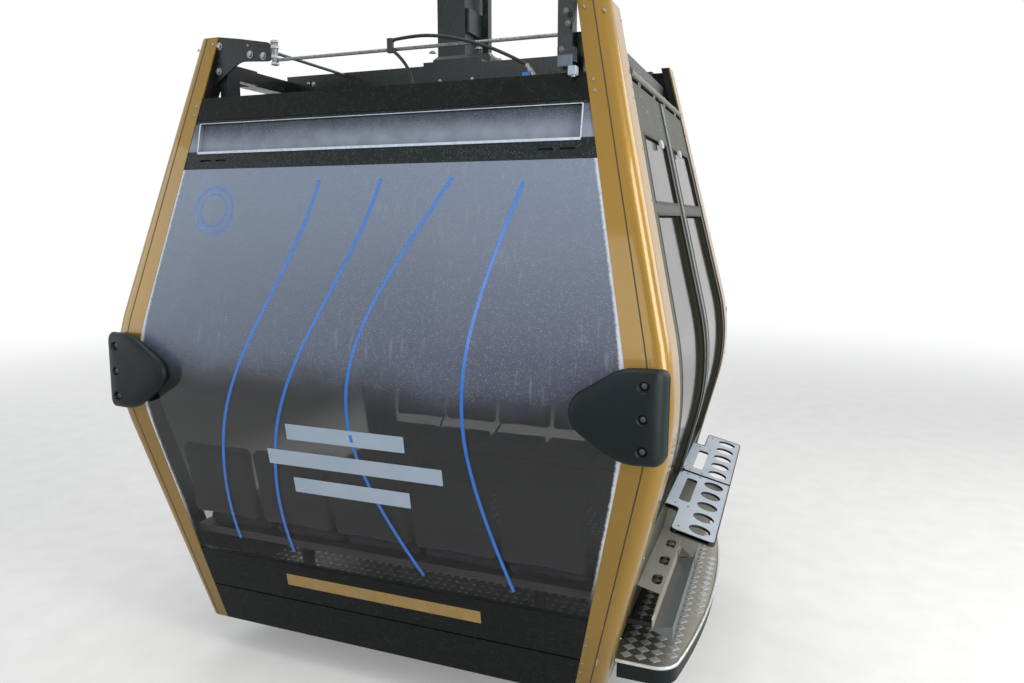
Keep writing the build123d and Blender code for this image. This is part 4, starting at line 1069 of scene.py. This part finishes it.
roof_bolts = bmesh.new()
column_bolts = bmesh.new()
for end in END_NAMES:
    outward = (0, end, 0)
    for across, height in ((-0.002, 2.297), (0.148, 2.296), (0.538, 2.329), (-0.664, 2.326)):
        rivet = [(0.0085, 0), (0.0085, 0.002), (0.0062, 0.0055), (0.002, 0.007)]
        lathe(roof_bolts, (across, end * FRAME_FACE, FOOT + height), outward, rivet, 14)
    bolt(roof_bolts, (-0.637, end * FRAME_FACE, FOOT + 2.322), outward, 0.006)
    for across, height in ((0.718, 2.379), (0.725, 2.341), (0.705, 2.262)):
        bolt(column_bolts, (across, end * COLUMN_FACE, FOOT + height), outward, 0.0055)
    for across, height in ((-0.588, 2.353), (-0.526, 2.343), (-0.735, 2.395), (-0.745, 2.300)):
        bolt(roof_bolts, (across, end * BEAM_FACE, FOOT + height), outward, 0.0085)
    screw(roof_bolts, (-0.597, end * BEAM_FACE, FOOT + 2.388), outward, 0.0045)
    for low, high, radius in NUTS:
        tall = high - low
        nut = [(radius * 0.9, 0), (radius, 0.002), (radius, tall - 0.002), (radius * 0.9, tall)]
        place = (JOINT_LINE[0], end * JOINT_LINE[1], FOOT + low)
        lathe(roof_bolts, place, (0, 0, 1), nut, 6, 0.3)
piece("roof_bolts", roof_bolts, steel)
piece("column_bolts", column_bolts, dark_steel)

foot_bolts = bmesh.new()
for across in (-0.052, 0.162):
    for along in (-0.180, -0.060, 0.060, 0.180):
        bolt(foot_bolts, (across, along, FOOT + 2.4203), (0, 0, 1), 0.009)
piece("foot_bolts", foot_bolts, steel)

switch_grey = mottled(
    "switch_face", cloud=(40.0, 3.0), dark=(54, 68, 82), light=(86, 102, 116), Roughness=0.4
)
switch_faces = bmesh.new()
for end in END_NAMES:
    rings = []
    for out, trim in ((0.0, 0.0), (0.0020, 0.0), (0.0030, 0.0012)):
        wide, high = 1 - trim / 0.030, 1 - trim / 0.022
        spots = [
            (SWITCH[0] + x * wide, end * (SWITCH_FACE + out), FOOT + SWITCH[1] + z * high)
            for x, z in SWITCH_CORNERS
        ]
        rings.append([switch_faces.verts.new(spot) for spot in spots])
    skin(switch_faces, rings)
piece("switch_faces", switch_faces, switch_grey)

# Cable fittings: a black moulded clip on the rod, a turned metal plug with a blue tag on the
# beam, and a pale junction box with a gland below it. They replace the plain blocks there.
JUNCTION = (0.748, -0.7735)


def block(made, middle, size, lean=0.0, edge=0.15):
    """A small box with chamfered outer edges, its first size along the way it faces."""
    spin = Matrix.Rotation(lean, 3, "Y")
    rings = []
    low, high = -size[0] / 2, size[0] / 2
    cut = edge * min(size)
    for depth, shrink in ((low, 0.0), (high - cut, 0.0), (high, cut)):
        ring = []
        for along, up in ((-1, -1), (1, -1), (1, 1), (-1, 1)):
            corner = (depth, along * (size[1] / 2 - shrink), up * (size[2] / 2 - shrink))
            ring.append(made.verts.new(Vector(middle) + spin @ Vector(corner)))
        rings.append(ring)
    skin(made, rings)


seal = mottled("black_seal", cloud=(90.0, 4.0), dark=(9, 10, 10), light=(26, 28, 28), Roughness=0.6)
clip = bmesh.new()
block(clip, (0.042, CABLE_LINE, FOOT + 2.336), (0.022, 0.0135, 0.050), edge=0.2)
for place, way, length in (
    ((0.050, CABLE_LINE, FOOT + 2.320), (0.76, 0, -0.65), 0.012),
    ((0.040, CABLE_LINE, FOOT + 2.352), (1, 0, 0.10), 0.018),
):
    mouth = [(0.0062, 0.0), (0.0070, 0.002), (0.0070, length - 0.002), (0.0064, length)]
    lathe(clip, place, way, mouth, 16)
clip_piece = piece("cable_clip", clip, seal)

plug_metal = mottled(
    "plug_metal",
    cloud=(120.0, 4.0),
    dark=(112, 116, 118),
    light=(168, 170, 170),
    rough=(0.32, 0.2),
    depth=0.0003,
    Metallic=0.5,
)
plug = bmesh.new()
collar = [(0.0068, 0.0), (0.0086, 0.0016), (0.0086, 0.014), (0.0074, 0.0155), (0.0074, 0.018)]
collar += [(0.0086, 0.0195), (0.0086, 0.030), (0.0070, 0.0315), (0.0068, 0.040), (0.0074, 0.042)]
collar += [(0.0072, 0.050)]
lathe(plug, (0.592, CABLE_LINE, FOOT + 2.1945), (-0.564, 0, 0.826), collar, 24)
plug_piece = piece("cable_plug", plug, plug_metal)

junction_grey = mottled(
    "junction_grey", cloud=(60.0, 3.0), dark=(136, 146, 162), light=(166, 174, 190), Roughness=0.4
)
junction = bmesh.new()
block(junction, (*JUNCTION, FOOT + 2.191), (0.028, 0.029, 0.028), edge=0.1)
gland = [(0.0095, 0.0), (0.0095, 0.004), (0.0075, 0.005), (0.0075, 0.009), (0.0050, 0.0095)]
lathe(junction, (*JUNCTION, FOOT + 2.1815), (0, 0, -1), gland, 12)
junction_piece = piece("junction_box", junction, junction_grey)
for item in (clip_piece, plug_piece, junction_piece):
    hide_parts("cable_fittings")

blue_tag = mottled(
    "blue_tag", cloud=(90.0, 3.0), dark=(18, 92, 176), light=(40, 128, 214), Roughness=0.45
)
tag = bmesh.new()
block(tag, (0.566, CABLE_LINE - 0.004, FOOT + 2.2015), (0.028, 0.013, 0.015))
piece("cable_tag", tag, blue_tag)

# Grip: cast steel, grey-black and rubbed. Its running wheels and lever roller are rubber tyres
# on turned aluminium hubs with a ring of bolts, and caps close both ends of the jaw's shaft.
JAW_SHAFT = (-0.020, 0.096)
PIN_FACE = (-0.3018, -0.020)
PIN_CIRCLE = 0.036
casting = mottled(
    "grip_casting",
    cloud=(16.0, 5.0),
    dark=(52, 54, 56),
    light=(104, 105, 104),
    rough=(0.42, 0.2),
    grain=(240.0, 4.0),
    depth=0.0009,
    Metallic=0.6,
)
dress(["grip_body", "grip_jaw"], casting)
dress(["lever_roller", "running_wheel_front", "running_wheel_rear"], rubber)
hub_metal = mottled(
    "hub_metal",
    cloud=(40.0, 5.0),
    dark=(112, 116, 118),
    light=(168, 172, 174),
    rough=(0.30, 0.25),
    grain=(500.0, 2.0),
    depth=0.0002,
    Metallic=0.6,
)


def both_faces(half, wide):
    """A wheel's profile from that of its near face."""
    return half + [(out, wide - rise) for out, rise in reversed(half)]


def wheel(node, place, radius, wide, rim, bolts, bolt_circle, bolt_size):
    """A hub with a recessed web on both faces and a tyre round it, turning with its body."""
    tyre = bmesh.new()
    half = [(rim, 0.003), (radius * 0.92, 0.001), (radius * 0.985, 0.006), (radius, 0.012)]
    lathe(tyre, place, (1, 0, 0), both_faces(half, wide), 56, hollow=True)
    hub = bmesh.new()
    half = [(0.0125, 0.003), (rim * 0.34, 0.0), (rim * 0.40, 0.010), (rim * 0.84, 0.010)]
    half += [(rim * 0.90, 0.001), (rim * 1.01, 0.001)]
    lathe(hub, place, (1, 0, 0), both_faces(half, wide), 56)
    for cosine, sine in circle(bolts):
        spot = Vector((0.010, bolt_circle * cosine, bolt_circle * sine))
        bolt(hub, Vector(place) + spot, (-1, 0, 0), bolt_size)
    for item in (
        piece(node + "_tyre", tyre, rubber, node),
        piece(node + "_hub", hub, hub_metal, node),
    ):
        smooth(item, 32)
        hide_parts(node)


for end in END_NAMES:
    node = f"running_wheel_{END_NAMES[end]}"
    wheel(
        node,
        (-0.216, end * 0.2, 0.025),
        radius=0.085,
        wide=0.044,
        rim=0.060,
        bolts=6,
        bolt_circle=0.037,
        bolt_size=0.0042,
    )
wheel(
    "lever_roller",
    (-0.352, 0.0, 0.190),
    radius=0.036,
    wide=0.046,
    rim=0.024,
    bolts=3,
    bolt_circle=0.0155,
    bolt_size=0.0020,
)
shaft_caps = bmesh.new()
for end in END_NAMES:
    cap = [(0.030, 0.0), (0.030, 0.003), (0.027, 0.005), (0.012, 0.005)]
    lathe(shaft_caps, (JAW_SHAFT[0], end * 0.2095, JAW_SHAFT[1]), (0, end, 0), cap, 32)
    bolt(shaft_caps, (JAW_SHAFT[0], end * 0.2142, JAW_SHAFT[1]), (0, end, 0), 0.0065)
piece("shaft_caps", shaft_caps, hub_metal, "grip")
pin_bolts = bmesh.new()
for cosine, sine in circle(6):
    place = (PIN_FACE[0], PIN_CIRCLE * cosine, PIN_FACE[1] + PIN_CIRCLE * sine)
    bolt(pin_bolts, place, (-1, 0, 0), 0.0042)
piece("pin_bolts", pin_bolts, steel, "grip")

# Doors: leaves in dark grey-green powder coat, dusty, with tinted dry glazing and vent windows,
# hung from a dull grey steel tube. They have rivets on their heads, vent latches, black seals
# round the windows and soft rubber strips along their edges.
LEAF_INSET = -0.004
LEAF_GAP = 0.006
WINDOW_EDGE = 0.078
VENT_HIGH = 2.185 - 0.173
VENT_LOW = VENT_HIGH - 0.237
WINDOW_TOP = VENT_LOW - 0.040
WINDOW_FOOT = 0.650
leaf = mottled(
    "leaf_coat",
    cloud=(5.0, 5.0),
    dark=(34, 37, 29),
    light=(58, 60, 47),
    rough=(0.38, 0.2),
    grain=(700.0,),
    depth=0.0002,
    Coat_Roughness=0.25,
    Specular_IOR_Level=0.2,
)
leaf.wire("Coat Weight", 0.15 - leaf.cloud * 0.1)
dress(["door_leaf_front", "door_leaf_rear", "door_header"], leaf)

tint = Finish("door_tint", IOR=1.45, Coat_Weight=0.3, Coat_Roughness=0.03)
tint_film = tint.noise(5.0, 5.0, (1, 1, 0.35))
tint.wire("Base Color", tint.mix(tint_film, colour(16, 17, 14), colour(44, 44, 38)))
tint.wire("Alpha", 0.76 + tint_film * 0.20)
tint.wire("Roughness", 0.04 + tint_film * 0.16)
dress(["door_glass", "vent_windows"], tint)

tube_grey = mottled(
    "rail_grey",
    cloud=(30.0, 4.0),
    dark=(84, 86, 80),
    light=(124, 126, 118),
    rough=(0.36, 0.2),
    grain=(400.0, 3.0),
    depth=0.0002,
    Metallic=0.6,
)
dress(["door_rail"], tube_grey)

# Rivets of one leaf head, by how far along and how high they are
RIVETS = [
    (-0.376, 2.105),
    (-0.383, 2.067),
    (-0.452, 2.150),
    (-0.460, 2.110),
    (-0.164, 2.116),
    (-0.139, 2.067),
]
door_rivets = bmesh.new()
for along, height in RIVETS:
    for end in END_NAMES:
        screw(door_rivets, on_side(end * along, height, LEAF_INSET), (1, 0, 0.25), 0.0036)
piece("door_rivets", door_rivets, steel)

latch_grey = mottled(
    "latch_grey", cloud=(60.0, 3.0), dark=(150, 158, 166), light=(188, 194, 200), Roughness=0.4
)
latches = bmesh.new()
for end in END_NAMES:
    block(latches, on_side(end * 0.236, 2.000, 0.001), (0.012, 0.036, 0.030), -0.24)
    block(latches, on_side(end * 0.236, 1.999, 0.007), (0.004, 0.024, 0.018), -0.24)
piece("vent_latches", latches, latch_grey)

seals = bmesh.new()
for end in END_NAMES:
    near = LEAF_GAP + WINDOW_EDGE
    for low, high in ((WINDOW_FOOT, WINDOW_TOP), (VENT_LOW, VENT_HIGH)):
        levels = spread(low, high, 24)
        far = [half_width(SIDE_OPENING, level) - near for level in levels]
        for line in (
            [(end * near, level) for level in levels],
            [(end * reach, level) for reach, level in zip(far, levels)],
            [(end * near, low), (end * far[0], low)],
            [(end * near, high), (end * far[-1], high)],
        ):
            band(seals, on_side, line, wide=0.009, proud=LEAF_INSET + 0.0012, thick=0.002)
    levels = spread(0.152, 2.183, 60)
    for line in (
        [(end * 0.024, level) for level in levels],
        [(end * (half_width(SIDE_OPENING, level) - 0.012), level) for level in levels],
    ):
        band(seals, on_side, line, wide=0.010, proud=LEAF_INSET + 0.0030, thick=0.004)
piece("door_seals", seals, seal)

# Cabin floor: dark sheet with bright oval studs pressed in it, as on the step but finer, and
# turned one way and the other by turns.
STUD_PITCH = 0.042
stud_metal = mottled(
    "stud_metal",
    cloud=(24.0, 5.0),
    dark=(196, 188, 176),
    light=(240, 236, 226),
    rough=(0.24, 0.25),
    grain=(500.0, 2.0),
    depth=0.0002,
    Metallic=0.2,
)
floor_studs = bmesh.new()
for row in range(-16, 17):
    for column in range(-20, 21):
        x = column * STUD_PITCH
        y = row * STUD_PITCH
        turn = math.pi / 4 * (1 if (row + column) % 2 else -1)
        if abs(x) < 0.84 and abs(y) < 0.70:
            lozenge(floor_studs, (x, y, STEP_TOP), long=0.019, wide=0.0085, rise=0.0013, turn=turn)
piece("floor_studs", floor_studs, stud_metal)

# Benches: moulded dark plastic shells with a fine leather-like grain, and on each five seat and
# five back cushions, foam in dark artificial leather, screwed on from below. One seat and one
# back are blown up by a cloth simulation, then pressed and sewn.
CUSHION_PITCH = 0.3442
CUSHION_WIDE = 0.332
SEAT_DEEP = 0.376
BACK_DEEP = 0.322
SEAT_MIDDLE = (0.6148, 0.4525)
BACK_HEIGHT = 0.662
CUSHION_VOXEL = 0.008
CLOTH_FRAMES = 20
CUSHION_SIDES_IN = 0.006
REST_LEAN = math.atan((END_FACES[1] - END_FACES[0]) / WAIST)
shell = Finish("bench_plastic", Roughness=0.5)
shell.wire("Base Color", shell.mix(shell.noise(6.0, 3.0), colour(46, 44, 46), colour(70, 66, 68)))
shell.bump(shell.cells(420.0), 0.0004)
dress(["benches"], shell)
cover = mottled(
    "cushion_cover",
    cloud=(38.0, 5.0),
    dark=(34, 33, 38),
    light=(62, 60, 66),
    rough=(0.42, 0.2),
    Specular_IOR_Level=0.35,
    Sheen_Weight=0.12,
    Sheen_Roughness=0.5,
)
cover.bump(cover.cells(520.0, "SMOOTH_F1") + cover.cloud * 0.8, 0.0006)


def swell(item, cap):
    """Blows an item up as cloth under pressure, and lets no point move by more than the cap."""
    start = [vertex.co.copy() for vertex in item.data.vertices]
    cloth = item.modifiers.new("cloth", "CLOTH")
    cloth.settings.use_pressure = True
    cloth.settings.uniform_pressure_force = 4.0
    cloth.settings.effector_weights.gravity = 0.0
    cloth.point_cache.frame_start = 1
    cloth.point_cache.frame_end = CLOTH_FRAMES
    for frame_number in range(1, CLOTH_FRAMES + 1):
        scene.frame_set(frame_number)
    seen = item.evaluated_get(bpy.context.evaluated_depsgraph_get())
    swollen = [vertex.co.copy() for vertex in seen.data.vertices]
    item.modifiers.clear()
    scene.frame_set(1)
    for vertex, first, last in zip(item.data.vertices, start, swollen):
        move = last - first
        vertex.co = first + move * min(1.0, cap / max(move.length, 1e-6))


def climb(edge):
    """How far an edge rises from one of its ends to the other."""
    return abs(edge.verts[0].co.z - edge.verts[1].co.z)


def blown(wide, deep, thick, crown, cap, folds):
    """A cushion lying flat round the origin: crowned, its sides drawn in between its corners."""
    made = bmesh.new()
    bmesh.ops.create_cube(made, size=1.0, matrix=Matrix.Diagonal((wide, deep, thick, 1.0)))
    uprights = [edge for edge in made.edges if climb(edge) > thick / 2]
    bmesh.ops.bevel(made, geom=uprights, offset=0.030, segments=5, profile=0.5, affect="EDGES")
    rims = [edge for edge in made.edges if climb(edge) < 0.001]
    rims = [edge for edge in rims if any(abs(face.normal.z) < 0.5 for face in edge.link_faces)]
    bmesh.ops.bevel(made, geom=rims, offset=thick * 0.34, segments=4, profile=0.5, affect="EDGES")
    item = as_object("blown", made)
    set_in(item, "REMESH", mode="VOXEL", voxel_size=CUSHION_VOXEL)
    for vertex in item.data.vertices:
        across, along = 2 * vertex.co.x / wide, 2 * vertex.co.y / deep
        if vertex.co.z > 0:
            bulge = max(0.0, 1 - across**2) ** 0.6 * max(0.0, 1 - along**2) ** 0.6
            vertex.co.z += crown * bulge
        vertex.co.x -= CUSHION_SIDES_IN * across * (1 - along**2)
        vertex.co.y -= CUSHION_SIDES_IN * along * (1 - across**2)
    swell(item, cap)
    for vertex in item.data.vertices:
        if vertex.co.z > 0:
            for fold in folds:
                vertex.co.z -= 0.0045 * math.exp(-(((vertex.co.y - fold) / 0.009) ** 2))
        vertex.co.z = max(vertex.co.z, -thick / 2)
    smooth(item)
    form = item.data
    bpy.data.objects.remove(item)
    return form


def welt(made, cushion, stand, wide, deep, level):
    """The piped seam round a cushion, laid on its surface at one level."""
    corners = [vertex.co for vertex in cushion.vertices]
    surface = BVHTree.FromPolygons(corners, [face.vertices for face in cushion.polygons])
    flat = rounded(
        [(wide, deep), (-wide, deep), (-wide, -deep), (wide, -deep)], [0.034] * 4, steps=5
    )
    line = []
    for first, last in zip(flat, flat[1:] + flat[:1]):
        for step in range(4):
            place = first.lerp(last, step / 4)
            found = surface.find_nearest(Vector((place.x, place.y, level)))[0]
            line.append(stand @ Vector((found.x, found.y, level)))
    tube(made, line + line[:1], radius=0.0022, sides=6)


seat_form = blown(CUSHION_WIDE, SEAT_DEEP, thick=0.042, crown=0.006, cap=0.005, folds=(-0.06, 0.06))
back_form = blown(CUSHION_WIDE, BACK_DEEP, thick=0.034, crown=0.005, cap=0.004, folds=(-0.05, 0.05))
welts = bmesh.new()
for end, word in END_NAMES.items():
    up = Vector((0, end * math.sin(REST_LEAN), math.cos(REST_LEAN)))
    inwards = Vector((0, -end * math.cos(REST_LEAN), math.sin(REST_LEAN)))
    turned = Matrix(((end, 0, 0), up, inwards)).transposed().to_4x4()
    back_depth = half_width(END_FACES, BACK_HEIGHT) - 0.036
    for index in range(5):
        middle = (index - 2) * CUSHION_PITCH
        seat_stand = Matrix.Translation((middle, end * SEAT_MIDDLE[0], FOOT + SEAT_MIDDLE[1]))
        back_stand = Matrix.Translation((middle, end * back_depth, FOOT + BACK_HEIGHT)) @ turned
        for kind, form, stand, deep, level in (
            ("seat", seat_form, seat_stand, SEAT_DEEP, 0.010),
            ("back", back_form, back_stand, BACK_DEEP, 0.008),
        ):
            cushion = bpy.data.objects.new(f"{kind}_cushion_{word}_{index + 1}", form.copy())
            cushion.data.transform(stand)
            cushion.data.materials.clear()
            cushion.data.materials.append(cover.material)
            scene.collection.objects.link(cushion)
            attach(cushion, "cabin")
            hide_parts(kind + "_pads")
            welt(welts, form, stand, CUSHION_WIDE / 2, deep / 2, level)
piece("cushion_welts", welts, seal)
